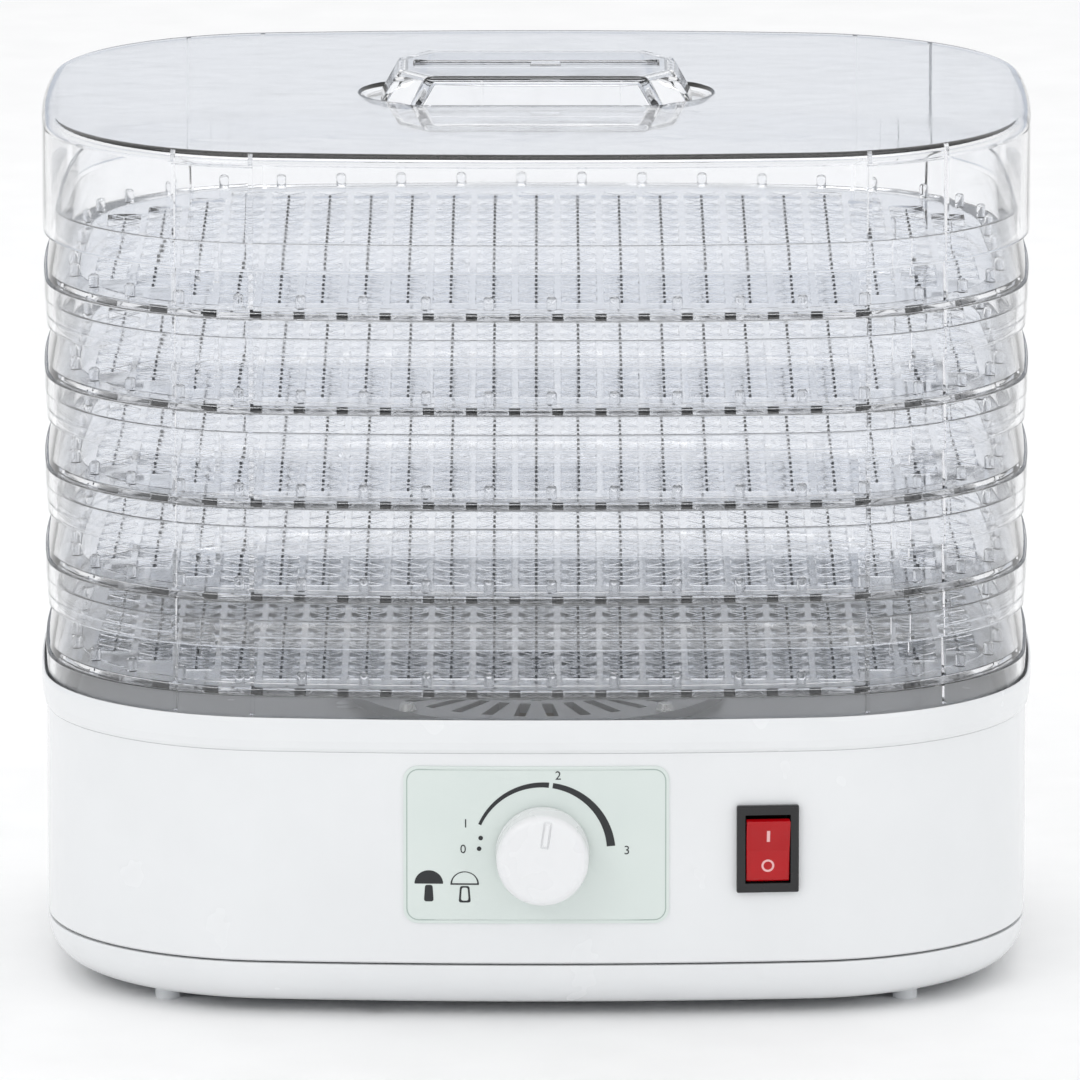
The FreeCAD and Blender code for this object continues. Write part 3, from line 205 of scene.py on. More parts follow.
def lathe(name, profile, steps=72, at=(0, 0, 0)):
    """Closed solid turned about Z from a profile of (radius, height) points, capped at its ends."""
    loops = []
    for radius, z in profile:
        loops.append([(at[0] + radius * math.cos(math.tau * k / steps),
                       at[1] + radius * math.sin(math.tau * k / steps), at[2] + z)
                      for k in range(steps)])
    return rings_mesh(name, loops, False)


def strip(name, section, first, last, side):
    """Section of (grow, height) points made solid from x = first to last on one long side."""
    count = max(1, math.ceil((last - first) / 3))
    loops = []
    for k in range(count + 1):
        x = first + (last - first) * k / count
        loops.append([(x, side * depth_at(x, grow), z) for grow, z in section])
    return rings_mesh(name, loops, False)


def block(name, size, at, lean=0.0, bevel=0.0):
    """Box centred in X and Y that stands on `at`, leaning about X, with bevelled edges."""
    mesh = bpy.data.meshes.new(name)
    work = bmesh.new()
    bmesh.ops.create_cube(work, size=1)
    place = Matrix.Translation(at) @ Matrix.Rotation(lean, 4, "X")
    place = place @ Matrix.Translation((0, 0, size[2] / 2)) @ Matrix.Diagonal((*size, 1))
    bmesh.ops.transform(work, matrix=place, verts=work.verts)
    work.to_mesh(mesh)
    work.free()
    return bevelled(mesh, bevel) if bevel else mesh


def bevelled(mesh, width, steps=3, above=20):
    """Round every edge of a mesh that turns by more than `above` degrees."""
    work = bmesh.new()
    work.from_mesh(mesh)
    edges = [edge for edge in work.edges
             if len(edge.link_faces) == 2 and edge.calc_face_angle() > math.radians(above)]
    bmesh.ops.bevel(work, geom=edges, offset=width, segments=steps, profile=0.5,
                    affect="EDGES", clamp_overlap=True)
    bmesh.ops.remove_doubles(work, verts=work.verts, dist=0.0005)
    work.to_mesh(mesh)
    work.free()
    return mesh


def joined(name, meshes):
    """Several meshes as one, without welding them."""
    work = bmesh.new()
    for mesh in meshes:
        work.from_mesh(mesh)
    result = bpy.data.meshes.new(name)
    work.to_mesh(result)
    work.free()
    return result


def evaluated(thing):
    """Mesh of an object with its modifiers applied; the object is removed."""
    graph = bpy.context.evaluated_depsgraph_get()
    mesh = bpy.data.meshes.new_from_object(thing.evaluated_get(graph), preserve_all_data_layers=True,
                                           depsgraph=graph)
    bpy.data.objects.remove(thing)
    return mesh


def holder(mesh):
    thing = bpy.data.objects.new(mesh.name, mesh)
    bpy.context.scene.collection.objects.link(thing)
    return thing


def combine(base, tool, operation):
    """Union or difference of two closed meshes."""
    first, second = holder(base), holder(tool)
    modifier = first.modifiers.new("combine", "BOOLEAN")
    modifier.operation, modifier.solver, modifier.object = operation, "MANIFOLD", second
    result = evaluated(first)
    bpy.data.objects.remove(second)
    return result


def plate(name, outer, holes, low, high):
    """Flat plate with holes, made solid between two heights."""
    loops = [outer] + holes
    points, faces = [], []
    for loop in loops:
        faces.append(list(range(len(points), len(points) + len(loop))))
        points += [Vector(point) for point in loop]
    corners, _, cells, *_ = delaunay_2d_cdt(points, [], faces, 5, 1e-5)
    count = len(corners)
    edges = {}
    for face in cells:
        for a, b in zip(face, face[1:] + face[:1]):
            edges[(a, b)] = True
    skin = [tuple(count + k for k in face) for face in cells]
    skin += [tuple(reversed(face)) for face in cells]
    skin += [(a, b, count + b, count + a) for a, b in edges if (b, a) not in edges]
    solid = [(p.x, p.y, z) for z in (low, high) for p in corners]
    return mesh_from(name, solid, skin)


def finished(mesh, sharp=38):
    """Scale a mesh to metres, and give it smooth shading that keeps its flats flat."""
    mesh.transform(Matrix.Scale(MM, 4))
    mesh.shade_smooth()
    mesh.set_sharp_from_angle(angle=math.radians(sharp))
    thing = holder(mesh)
    modifier = thing.modifiers.new("flats", "WEIGHTED_NORMAL")
    modifier.keep_sharp = True
    modifier.weight = 80
    return evaluated(thing)


def show(name, mesh, material, body, nodes=(), place=None):
    """Put a finished mesh into the scene and let it ride on a CAD body."""
    piece = holder(mesh)
    piece.name = name
    mesh.materials.clear()
    mesh.materials.append(material)
    piece.matrix_world = place or Matrix.Translation((0, CENTRE_Y, 0))
    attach(piece, body)
    if nodes:
        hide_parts(*nodes)
    return piece


# ---------------------------------------------------------------- camera, floor and light
def aim(thing, target):
    thing.rotation_euler = (target - thing.location).to_track_quat("-Z", "Y").to_euler()


def add_camera():
    """Long lens straight in front, a little above the lid."""
    elevation, distance = math.radians(11.45), 5.0
    target = Vector((1.2 * MM, CENTRE_Y, 133 * MM))
    away = Vector((0, -math.cos(elevation), math.sin(elevation)))
    data = bpy.data.cameras.new("camera")
    data.lens, data.sensor_width = 510, 36
    data.clip_start, data.clip_end = 0.1, 50
    camera = bpy.data.objects.new("camera", data)
    bpy.context.scene.collection.objects.link(camera)
    camera.location = target + away * distance
    aim(camera, target)
    bpy.context.scene.camera = camera


def add_area(name, place, target, size, power):
    data = bpy.data.lights.new(name, "AREA")
    data.shape, data.size, data.size_y = "RECTANGLE", size[0], size[1]
    data.energy = power
    lamp = bpy.data.objects.new(name, data)
    bpy.context.scene.collection.objects.link(lamp)
    lamp.location = Vector(place)
    aim(lamp, Vector(target))


def add_floor():
    """Wide white floor."""
    reach, steps = 20.0, 64
    rim = [(reach * math.cos(math.tau * k / steps), reach * math.sin(math.tau * k / steps), 0)
           for k in range(steps)]
    mesh = bpy.data.meshes.new("floor")
    mesh.from_pydata(rim, [], [tuple(range(steps))])
    mesh.materials.append(moulded("floor_white", (0.97, 0.97, 0.97), (0.6, 0.7), 0.004, 0.000004))
    holder(mesh)


def add_light():
    """Light tent: white above and grey-blue near the horizon, with soft lamps from above."""
    middle = (0, CENTRE_Y, 0.14)
    add_area("key", (-1.4, -2.0, 1.7), middle, (1.2, 1.2), 8)
    add_area("fill", (1.9, -1.7, 1.0), middle, (1.2, 1.2), 3)
    add_area("top", (0, 0.35, 2.3), middle, (2.0, 1.4), 10)
    world = bpy.data.worlds.new("studio")
    bpy.context.scene.world = world
    world.use_nodes = True
    nodes, links = world.node_tree.nodes, world.node_tree.links
    way, split = nodes.new("ShaderNodeTexCoord"), nodes.new("ShaderNodeSeparateXYZ")
    ramp = nodes.new("ShaderNodeValToRGB")
    low, high = ramp.color_ramp.elements
    low.position, low.color = 0.02, (0.58, 0.63, 0.72, 1)
    high.position, high.color = 0.4, (1, 1, 1, 1)
    links.new(way.outputs["Generated"], split.inputs["Vector"])
    links.new(split.outputs["Z"], ramp.inputs["Fac"])
    links.new(ramp.outputs["Color"], nodes["Background"].inputs["Color"])
    nodes["Background"].inputs["Strength"].default_value = 0.94
    bpy.context.scene.view_settings.view_transform = "Standard"
    cycles = bpy.context.scene.cycles
    cycles.max_bounces = 24
    cycles.transmission_bounces = 24
    cycles.sample_clamp_indirect = 1.5


# ---------------------------------------------------------------- materials
def new_material(name, colour, roughness, **sockets):
    material = bpy.data.materials.new(name)
    material.use_nodes = True
    shader = material.node_tree.nodes["Principled BSDF"]
    shader.inputs["Base Color"].default_value = (*colour, 1)
    shader.inputs["Roughness"].default_value = roughness
    for socket, number in sockets.items():
        shader.inputs[socket.replace("_", " ")].default_value = number
    return material


def texture(material, kind, size, stretch=(1, 1, 1), **settings):
    """Texture in object space whose features are about `size` metres across."""
    nodes, links = material.node_tree.nodes, material.node_tree.links
    place, mapping = nodes.new("ShaderNodeTexCoord"), nodes.new("ShaderNodeMapping")
    mapping.inputs["Scale"].default_value = stretch
    node = nodes.new(kind)
    node.inputs["Scale"].default_value = 1 / size
    for word, setting in settings.items():
        if word in node.inputs:
            node.inputs[word].default_value = setting
        else:
            setattr(node, word, setting)
    links.new(place.outputs["Object"], mapping.inputs["Vector"])
    links.new(mapping.outputs["Vector"], node.inputs["Vector"])
    return node


def height_of(node):
    return node.outputs["Distance"] if "Distance" in node.outputs else node.outputs[0]


def add_bump(material, node, height):
    """Raise the surface by up to `height` metres where the texture is light."""
    links = material.node_tree.links
    shader = material.node_tree.nodes["Principled BSDF"]
    bump = material.node_tree.nodes.new("ShaderNodeBump")
    bump.inputs["Distance"].default_value = height
    links.new(height_of(node), bump.inputs["Height"])
    if shader.inputs["Normal"].links:
        links.new(shader.inputs["Normal"].links[0].from_socket, bump.inputs["Normal"])
    links.new(bump.outputs["Normal"], shader.inputs["Normal"])


def add_roughness(material, node, low, high):
    """Let the roughness follow a texture between two values."""
    links = material.node_tree.links
    spread = material.node_tree.nodes.new("ShaderNodeMapRange")
    spread.inputs["From Min"].default_value = 0.3
    spread.inputs["From Max"].default_value = 0.7
    spread.inputs["To Min"].default_value = low
    spread.inputs["To Max"].default_value = high
    links.new(height_of(node), spread.inputs["Value"])
    shader = material.node_tree.nodes["Principled BSDF"]
    links.new(spread.outputs["Result"], shader.inputs["Roughness"])


def add_colours(material, node, dark, light, low=0.3, high=0.7):
    """Let the colour follow a texture from one colour to another."""
    links = material.node_tree.links
    ramp = material.node_tree.nodes.new("ShaderNodeValToRGB")
    for element, place, colour in zip(ramp.color_ramp.elements, (low, high), (dark, light)):
        element.position, element.color = place, (*colour, 1)
    links.new(height_of(node), ramp.inputs["Fac"])
    shader = material.node_tree.nodes["Principled BSDF"]
    links.new(ramp.outputs["Color"], shader.inputs["Base Color"])


def shaded(colour, amount):
    return tuple(channel * amount for channel in colour)


def moulded(name, colour, roughness, grain, height, mottle=0.97, **sockets):
    """Moulded plastic: fine orange peel, uneven gloss and a faint drift of shade."""
    material = new_material(name, colour, roughness[0], **sockets)
    cloud = texture(material, "ShaderNodeTexNoise", 0.03, Detail=3)
    add_colours(material, cloud, shaded(colour, mottle), colour)
    add_roughness(material, cloud, *roughness)
    add_bump(material, texture(material, "ShaderNodeTexNoise", grain, Detail=2), height)
    return material


def clear_plastic():
    """Crystal polystyrene with slight flow waves and faint smears in its gloss."""
    material = new_material("clear_plastic", (0.975, 0.98, 0.99), 0.02, Transmission_Weight=1.0,
                            IOR=1.5)
    smear = texture(material, "ShaderNodeTexNoise", 0.02, (1, 1, 2.5), Detail=3)
    add_roughness(material, smear, 0.0, 0.05)
    waves = texture(material, "ShaderNodeTexNoise", 0.014, (1, 1, 0.5), Detail=1)
    add_bump(material, waves, 0.00003)
    return material


def metal(name, colour, roughness):
    """Bright metal with fine drawing lines along one way, and dull patches."""
    material = new_material(name, colour, roughness[0], Metallic=1.0)
    lines = texture(material, "ShaderNodeTexNoise", 0.0012, (1, 1, 12), Detail=4)
    patches = texture(material, "ShaderNodeTexNoise", 0.01, Detail=3)
    add_colours(material, patches, shaded(colour, 0.8), colour)
    add_roughness(material, patches, *roughness)
    add_bump(material, lines, 0.00001)
    return material


def galvanised():
    """Zinc-coated sheet with its spangle of angular crystals."""
    material = new_material("zinc_steel", (0.6, 0.62, 0.63), 0.35, Metallic=1.0)
    spangle = texture(material, "ShaderNodeTexVoronoi", 0.006)
    add_colours(material, spangle, (0.62, 0.64, 0.66), (0.45, 0.47, 0.49), 0.1, 0.8)
    add_roughness(material, spangle, 0.3, 0.5)
    add_bump(material, texture(material, "ShaderNodeTexNoise", 0.001, Detail=2), 0.000006)
    return material


def striped(name, dark, light, pitch, way, roughness, height, metallic=0.0):
    """Layers or turns seen from the side: laminations, windings or braid."""
    material = new_material(name, light, roughness, Metallic=metallic)
    bands = texture(material, "ShaderNodeTexWave", pitch / 0.314, bands_direction=way, Distortion=0.3)
    bands.inputs["Detail Scale"].default_value = 2.0
    add_colours(material, bands, dark, light, 0.2, 0.6)
    add_bump(material, bands, height)
    patches = texture(material, "ShaderNodeTexNoise", 0.008, Detail=3)
    add_roughness(material, patches, roughness * 0.8, roughness * 1.3)
    return material


def label_film():
    """Printed polyester film: pale green-grey with a fine matt emboss."""
    material = new_material("label", (0.73, 0.79, 0.76), 0.4)
    cloud = texture(material, "ShaderNodeTexNoise", 0.03, Detail=2)
    add_colours(material, cloud, (0.715, 0.78, 0.745), (0.745, 0.805, 0.77))
    add_roughness(material, cloud, 0.32, 0.42)
    emboss = texture(material, "ShaderNodeTexVoronoi", 0.0004)
    add_bump(material, emboss, 0.000006)
    return material


def mica():
    """Pressed mica board: pale flakes in a buff binder."""
    material = new_material("mica", (0.62, 0.56, 0.44), 0.4, Sheen_Weight=0.2)
    flakes = texture(material, "ShaderNodeTexVoronoi", 0.002)
    add_colours(material, flakes, (0.72, 0.67, 0.55), (0.5, 0.44, 0.33), 0.05, 0.7)
    add_roughness(material, flakes, 0.25, 0.5)
    add_bump(material, flakes, 0.00002)
    return material


def speckled(name, dark, light, grain, roughness, height, metallic=0.0):
    """Granular surface such as sintered bronze or scaled resistance wire."""
    material = new_material(name, light, roughness, Metallic=metallic)
    grains = texture(material, "ShaderNodeTexNoise", grain, Detail=5)
    add_colours(material, grains, dark, light, 0.4, 0.6)
    add_roughness(material, grains, roughness * 0.8, roughness * 1.2)
    add_bump(material, grains, height)
    return material


def make_materials():
    """One material for each of the record's slots, and the inks and marks of the controls."""
    return {
        "white_plastic": moulded("white_plastic", (0.85, 0.86, 0.865), (0.2, 0.28), 0.0022, 0.000012),
        "white_knob": moulded("white_knob", (0.87, 0.875, 0.88), (0.24, 0.32), 0.0016, 0.000008),
        "clear_plastic": clear_plastic(),
        "label": label_film(),
        "black_plastic": moulded("black_plastic", (0.012, 0.012, 0.013), (0.18, 0.3), 0.001, 0.00001),
        "red_lens": moulded("red_lens", (0.6, 0.001, 0.006), (0.1, 0.16), 0.003, 0.000004, 0.85,
                            Transmission_Weight=0.2, IOR=1.45),
        "lamp_glass": moulded("lamp_glass", (0.95, 0.8, 0.7), (0.02, 0.06), 0.004, 0.00001,
                              Transmission_Weight=0.9),
        "grey_plastic": moulded("grey_plastic", (0.05, 0.052, 0.055), (0.35, 0.5), 0.0012, 0.00002),
        "thermoset": speckled("thermoset", (0.05, 0.02, 0.01), (0.09, 0.04, 0.02), 0.001, 0.4,
                              0.00001),
        "nylon": moulded("nylon", (0.7, 0.68, 0.6), (0.35, 0.45), 0.0015, 0.00001, 0.9,
                         Subsurface_Weight=0.1),
        "steel": metal("steel", (0.62, 0.62, 0.6), (0.2, 0.35)),
        "zinc_steel": galvanised(),
        "laminated_steel": striped("laminated_steel", (0.05, 0.055, 0.07), (0.3, 0.31, 0.34), 0.0005,
                                   "Z", 0.4, 0.00004, 1.0),
        "copper_coil": striped("copper_coil", (0.2, 0.05, 0.015), (0.6, 0.2, 0.07), 0.0004, "Z", 0.3,
                               0.00005, 0.8),
        "bronze": speckled("bronze", (0.2, 0.11, 0.04), (0.5, 0.3, 0.13), 0.0005, 0.45, 0.00001, 1.0),
        "brass": metal("brass", (0.72, 0.5, 0.2), (0.2, 0.32)),
        "mica": mica(),
        "nichrome": speckled("nichrome", (0.06, 0.055, 0.05), (0.28, 0.25, 0.22), 0.0008, 0.5, 0.00001,
                             0.9),
        "fuse_can": metal("fuse_can", (0.75, 0.72, 0.62), (0.25, 0.4)),
        "wire_brown": moulded("wire_brown", (0.08, 0.03, 0.012), (0.35, 0.5), 0.001, 0.00001),
        "wire_blue": moulded("wire_blue", (0.015, 0.06, 0.3), (0.35, 0.5), 0.001, 0.00001),
        "wire_white": striped("wire_white", (0.5, 0.49, 0.45), (0.8, 0.79, 0.74), 0.0006, "DIAGONAL",
                              0.6, 0.00008),
        "label_ink": moulded("label_ink", (0.018, 0.02, 0.022), (0.3, 0.4), 0.0006, 0.000004),
        "label_rim": moulded("label_rim", (0.42, 0.5, 0.46), (0.3, 0.4), 0.0006, 0.000004),
        "switch_mark": moulded("switch_mark", (0.85, 0.5, 0.5), (0.25, 0.35), 0.0006, 0.000004),
    }


def paint_nodes():
    """Give every carried-over CAD node the material of its slot."""
    for node, thing in frame["nodes"].items():
        thing.data.materials.clear()
        thing.data.materials.append(MATERIALS[SLOTS[node]])


# ---------------------------------------------------------------- trays
def on_panels(name, section, places, half):
    """Strips of one section at given places in each of the four panels."""
    pieces = []
    for panel in PANELS:
        for place in places:
            for side in (-1, 1):
                x = panel + place
                pieces.append(strip(name, section, x - half, x + half, side))
    return pieces


def pegs():
    """Round-topped pegs at even steps along the ledge."""
    path = loop_at(-PEG_INSET)
    lengths = [math.dist(a, b) for a, b in zip(path, path[1:] + path[:1])]
    total = sum(lengths)
    profile = [(0.4, LEDGE + 0.6), (1.6, LEDGE + 0.6), (1.6, 20.9), (1.35, 21.4), (0.8, 21.75),
               (0.3, 21.8)]
    pieces, walked, k = [], 0.0, 0
    for j in range(PEG_COUNT):
        target = total * j / PEG_COUNT
        while walked + lengths[k] < target:
            walked += lengths[k]
            k += 1
        share = (target - walked) / lengths[k]
        a, b = path[k], path[(k + 1) % len(path)]
        spot = (a[0] + (b[0] - a[0]) * share, a[1] + (b[1] - a[1]) * share, 0)
        pieces.append(lathe("peg", profile, 14, spot))
    return pieces


def tray_wall():
    """Stepped skirt, ledge, leaning wall and nesting rim, with ribs, gussets, pads and pegs."""
    section = soften([
        (-2.3, 0), (-0.9, 0), (-0.6, 0.4), (-0.6, 3.6), (-0.3, 3.9), (-0.3, STEP), (0, STEP),
        (0, LEDGE), (-0.9, LEDGE), (-0.9, LEDGE + 0.8), (-3.4, 30.2), (-3.4, RIM), (-4.9, RIM),
        (-5, 30.2), (-3.1, FLOOR_TOP), (-11, FLOOR_TOP), (-11, LEDGE), (-2.3, LEDGE - 0.4)], 0.35)
    wall = sweep("tray_wall", section)
    root, head = FLOOR_TOP - 0.5, RIM - 0.25
    tall = [(-2.6, root), (-4.0, 29.9), (-4.0, head), (-6.6, head), (-6.6, root)]
    short = [(-4.0, 26), (-4.0, head), (-6.4, head), (-6.6, head - 0.6), (-6.6, 26.8), (-6.2, 26)]
    gusset = [(-1.9, STEP), (-1.9, LEDGE + 0.3), (-5, LEDGE + 0.3), (-5, STEP)]
    pad = [(-1, 0.6), (0.15, 0.6), (0.4, 0.85), (0.4, LEDGE - 0.3), (0.15, LEDGE - 0.1),
           (-1, LEDGE - 0.1)]
    extras = on_panels("tall_rib", tall, EDGE_RIBS, RIB_HALF)
    extras += on_panels("short_rib", short, MIDDLE_RIBS, RIB_HALF)
    extras += on_panels("gusset", gusset, EDGE_RIBS, RIB_HALF)
    extras += on_panels("pad", pad, (0,), PANEL_HALF)
    extras += pegs()
    return finished(combine(wall, joined("tray_extras", extras), "UNION"))


def cell_holes(x, y):
    """Four three-cornered openings that a cell's crossed braces leave."""
    half, gap = (CELL_PITCH - BAR) / 2, BRACE * 0.71
    triangle = [(-half + gap, -half), (half - gap, -half), (0, -gap)]
    holes = []
    for turn in range(4):
        c, s = ((1, 0), (0, 1), (-1, 0), (0, -1))[turn]
        holes.append([(x + u * c - v * s, y + u * s + v * c) for u, v in triangle])
    return holes


def inside_outline(x, y, grow):
    """Whether a point lies within the outline moved outwards by `grow`."""
    if abs(x) > CORNER_X + CORNER_RADIUS + grow:
        return False
    return abs(y) < depth_at(x, grow) and math.hypot(abs(x) + SIDE_RADIUS - HALF_WIDTH, y) < (
        SIDE_RADIUS + grow)


def tray_floor():
    """Net of square cells with crossed braces."""
    holes, half = [], (CELL_PITCH - BAR) / 2
    for i in range(-12, 13):
        for j in range(-9, 10):
            x, y = i * CELL_PITCH, j * CELL_PITCH
            corners = [(x + a * half, y + b * half) for a in (-1, 1) for b in (-1, 1)]
            if all(inside_outline(u, v, -FLOOR_INSET - 1.3) for u, v in corners):
                holes += cell_holes(x, y)
    return finished(plate("tray_floor", loop_at(-FLOOR_INSET), holes, LEDGE, FLOOR_TOP), 20)


def add_trays():
    wall, net = tray_wall(), tray_floor()
    clear = MATERIALS["clear_plastic"]
    for number in TRAYS:
        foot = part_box(f"tray_{number}_frame")[0].z
        place = Matrix.Translation((0, CENTRE_Y, foot))
        show(f"tray_{number}_wall", wall, clear, f"tray_{number}",
             [f"tray_{number}_frame", f"tray_{number}_pegs"], place)
        show(f"tray_{number}_net", net, clear, f"tray_{number}",
             [f"tray_{number}_grid"], place)


# ---------------------------------------------------------------- lid
def octagon(shrink_x, shrink_y):
    half_x, half_y = GRIP_HALF_LENGTH - shrink_x, GRIP_HALF_DEPTH - shrink_y
    quarter = [(half_x, half_y - GRIP_CORNER), (half_x - GRIP_CORNER * 0.7, half_y)]
    points = quarter + [(-x, y) for x, y in reversed(quarter)]
    points += [(-x, -y) for x, y in quarter]
    return points + [(x, -y) for x, y in reversed(quarter)]


def grip_block(name, shrink, low, high, bevel):
    """Eight-sided block with sloping ends and rounded edges."""
    loops = [[(x, y, low) for x, y in octagon(shrink, shrink)],
             [(x, y, high) for x, y in octagon(shrink + GRIP_END_SLOPE, shrink + GRIP_SIDE_SLOPE)]]
    return bevelled(rings_mesh(name, loops, False), bevel)


def lid_shell():
    """Thin box open below, its top edge rounded inside and out."""
    outer = [(0.4, LID_TOP - LID_ROUNDING)]
    inner = [(0.4 - LID_WALL, LID_TOP - LID_ROUNDING)]
    for k in range(1, 9):
        angle = math.radians(90 * k / 8)
        reach, rise = 1 - math.cos(angle), math.sin(angle)
        outer.append((0.4 - LID_ROUNDING * reach, LID_TOP - LID_ROUNDING * (1 - rise)))
        small = LID_ROUNDING - LID_WALL
        inner.append((0.4 - LID_WALL - small * reach,
                      LID_TOP - LID_WALL - small * (1 - rise)))
    foot = soften([(0.4 - LID_WALL, 6), (0.4 - LID_WALL, 0), (0.4, 0), (0.4, 6)], 0.7, 4, False)
    return sweep("lid", inner[::-1] + foot + outer, False)


def lid_cuts():
    """Slanting vents through the grip's ends and the channel along its top."""
    cuts = [block(f"vent_{k}", (120, 2.4, 5.8), (0, k * 5.2, LID_TOP + 0.6), math.radians(25), 0.5)
            for k in range(-2, 3)]
    cuts.append(block("channel", (80, 12.3, 3), (0, 0.9, GRIP_TOP - 0.9), 0, 0.8))
    return joined("lid_cuts", cuts)


def lid_extras():
    """Finger tab, upright seams on the grip, ribs and raised panels."""
    extras = [block("tab", (10, 5, 1.5), (3, 1, GRIP_TOP - 1.5), 0, 0.45)]
    lean = math.atan(GRIP_SIDE_SLOPE / 12.2)
    for x in (-17.6, 27.5):
        for side in (-1, 1):
            extras.append(block("seam", (0.9, 0.9, 8), (x, side * 27.0, LID_TOP - 0.2),
                                side * lean, 0.2))
    rib = [(-1.2, STEP), (-1.2, 36.2), (-5, 36.2), (-5, STEP + 0.6), (-4.6, STEP)]
    pad = [(-0.4, 0.6), (0.55, 0.6), (0.8, 0.85), (0.8, 33.6), (0.55, 34), (-0.4, 34)]
    extras += on_panels("lid_rib", rib, EDGE_RIBS, RIB_HALF)
    extras += on_panels("lid_pad", pad, (0,), PANEL_HALF)
    return joined("lid_extras", extras)


def add_lid():
    """Clear lid with a hollow grip between two shallow finger wells."""
    floor = LID_TOP - WELL_DROP
    cup = soften([(1, floor - LID_WALL), (22.8, floor - LID_WALL), (26.4, LID_TOP - 1),
                  (1, LID_TOP - 1)], 1.5, 4, False)
    well = soften([(1, floor), (WELL_RADIUS - 3.2, floor), (WELL_RADIUS, LID_TOP + 0.3),
                   (1, LID_TOP + 0.3)], 2.0, 5, False)
    lid = lid_shell()
    sides = (-WELL_X, WELL_X)
    lid = combine(lid, joined("cups", [lathe("cup", cup, 96, (x, 0, 0)) for x in sides]), "UNION")
    lid = combine(lid, joined("wells", [lathe("well", well, 96, (x, 0, 0)) for x in sides]),
                  "DIFFERENCE")
    lid = combine(lid, grip_block("grip", 0, floor - 0.5, GRIP_TOP, 1.2), "UNION")
    hollow = grip_block("hollow", LID_WALL, LID_TOP - 6, GRIP_TOP - LID_WALL, 0.8)
    lid = combine(lid, hollow, "DIFFERENCE")
    lid = combine(lid, lid_cuts(), "DIFFERENCE")
    lid = combine(lid, lid_extras(), "UNION")
    place = Matrix.Translation((0, CENTRE_Y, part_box("lid")[0].z))
    show("lid_cover", finished(lid), MATERIALS["clear_plastic"], "lid",
         ["lid", "lid_grip"], place)


# ---------------------------------------------------------------- base
def circle(x, y, radius, steps=48):
    return [(x + radius * math.cos(math.tau * k / steps), y + radius * math.sin(math.tau * k / steps))
            for k in range(steps)]


def add_deck():
    """Rounded white lip round the first tray, and the dished deck with its outlet."""
    section = soften([
        (-2.8, 88), (0, 88), (0.8, 89.4), (1.3, 91.8), (1.5, 95.5), (1.5, 97.8), (1.1, 99.2),
        (0.6, 99.2), (0.5, 90.7), (-5, 90.7), (-8, DECK_HIGH), (-11, DECK_HIGH),
        (-11, DECK_LOW), (-6.5, DECK_LOW),
        (-5.5, 84)], 1.2, 4)
    holes = [circle(0, 0, OUTLET_RADIUS, 96)]
    for angle in (45, 135, 225, 315):
        a = math.radians(angle)
        holes.append(circle(SCREW_CIRCLE * math.cos(a), SCREW_CIRCLE * math.sin(a), SCREW_RADIUS, 16))
    # the plate stops just short of the ring's faces, so that no two faces lie in one plane
    floor = plate("deck_plate", loop_at(-10.4), holes, DECK_LOW + 0.01, DECK_HIGH - 0.01)
    deck = combine(sweep("deck", section), floor, "UNION")
    show("deck_moulding", finished(deck), MATERIALS["white_plastic"], "base",
         ["top_deck"])


def add_element():
    """Three rings of coiled resistance wire, joined by a straight tail."""
    data = bpy.data.curves.new("element", "CURVE")
    data.dimensions = "3D"
    data.bevel_depth, data.bevel_resolution = COIL_WIRE, 1
    low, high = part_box("heater_coil")
    height = (low.z + high.z) / 2 / MM
    for ring in COIL_RINGS:
        turns = round(math.tau * ring / COIL_PITCH)
        steps = turns * 9
        spline = data.splines.new("POLY")
        spline.points.add(steps - 1)
        spline.use_cyclic_u = True
        for k, point in enumerate(spline.points):
            around, twist = math.tau * k / steps, math.tau * turns * k / steps
            reach = ring + COIL_RADIUS * math.cos(twist)
            point.co = (reach * math.cos(around), reach * math.sin(around),
                        height + COIL_RADIUS * math.sin(twist), 1)
    tail = data.splines.new("POLY")
    tail.points.add(1)
    for point, reach in zip(tail.points, (21, 43)):
        point.co = (reach * math.cos(math.pi / 4), reach * math.sin(math.pi / 4), height, 1)
    thing = bpy.data.objects.new("element", data)
    bpy.context.scene.collection.objects.link(thing)
    show("element_coils", finished(evaluated(thing), 60), MATERIALS["nichrome"], "base",
         ["heater_coil"])


# ---------------------------------------------------------------- front controls
def on_front(mesh):
    """Wrap a flat mesh of (x, height, lift) points round the label's curved face."""
    for vertex in mesh.vertices:
        x, z, lift = vertex.co
        y = (FRONT_RADIUS - HALF_DEPTH) - math.sqrt((LABEL_RADIUS + lift) ** 2 - x ** 2)
        vertex.co = (x, y, z)
    return mesh


def rounded_box(half_x, half_z, radius, x, z):
    """Rounded rectangle with points along its straight sides too."""
    points = []
    for sx, sz, start in ((1, 1, 0), (-1, 1, 90), (-1, -1, 180), (1, -1, 270)):
        for k in range(7):
            angle = math.radians(start + 15 * k)
            points.append((x + sx * (half_x - radius) + radius * math.cos(angle),
                           z + sz * (half_z - radius) + radius * math.sin(angle)))
    dense = []
    for a, b in zip(points, points[1:] + points[:1]):
        count = max(1, round(math.dist(a, b) / 4))
        dense += [(a[0] + (b[0] - a[0]) * k / count, a[1] + (b[1] - a[1]) * k / count)
                  for k in range(count)]
    return dense


def arc_band(first, last, low_width, high_width, radius):
    """Band round the dial that widens clockwise from `first` to `last` degrees."""
    outer, inner = [], []
    steps = 28
    for k in range(steps + 1):
        share = k / steps
        angle = math.radians(first + (last - first) * share)
        half = (low_width + (high_width - low_width) * share) / 2
        for loop, reach in ((outer, radius + half), (inner, radius - half)):
            loop.append((KNOB_X + reach * math.cos(angle), KNOB_Z + reach * math.sin(angle)))
    return outer + inner[::-1]


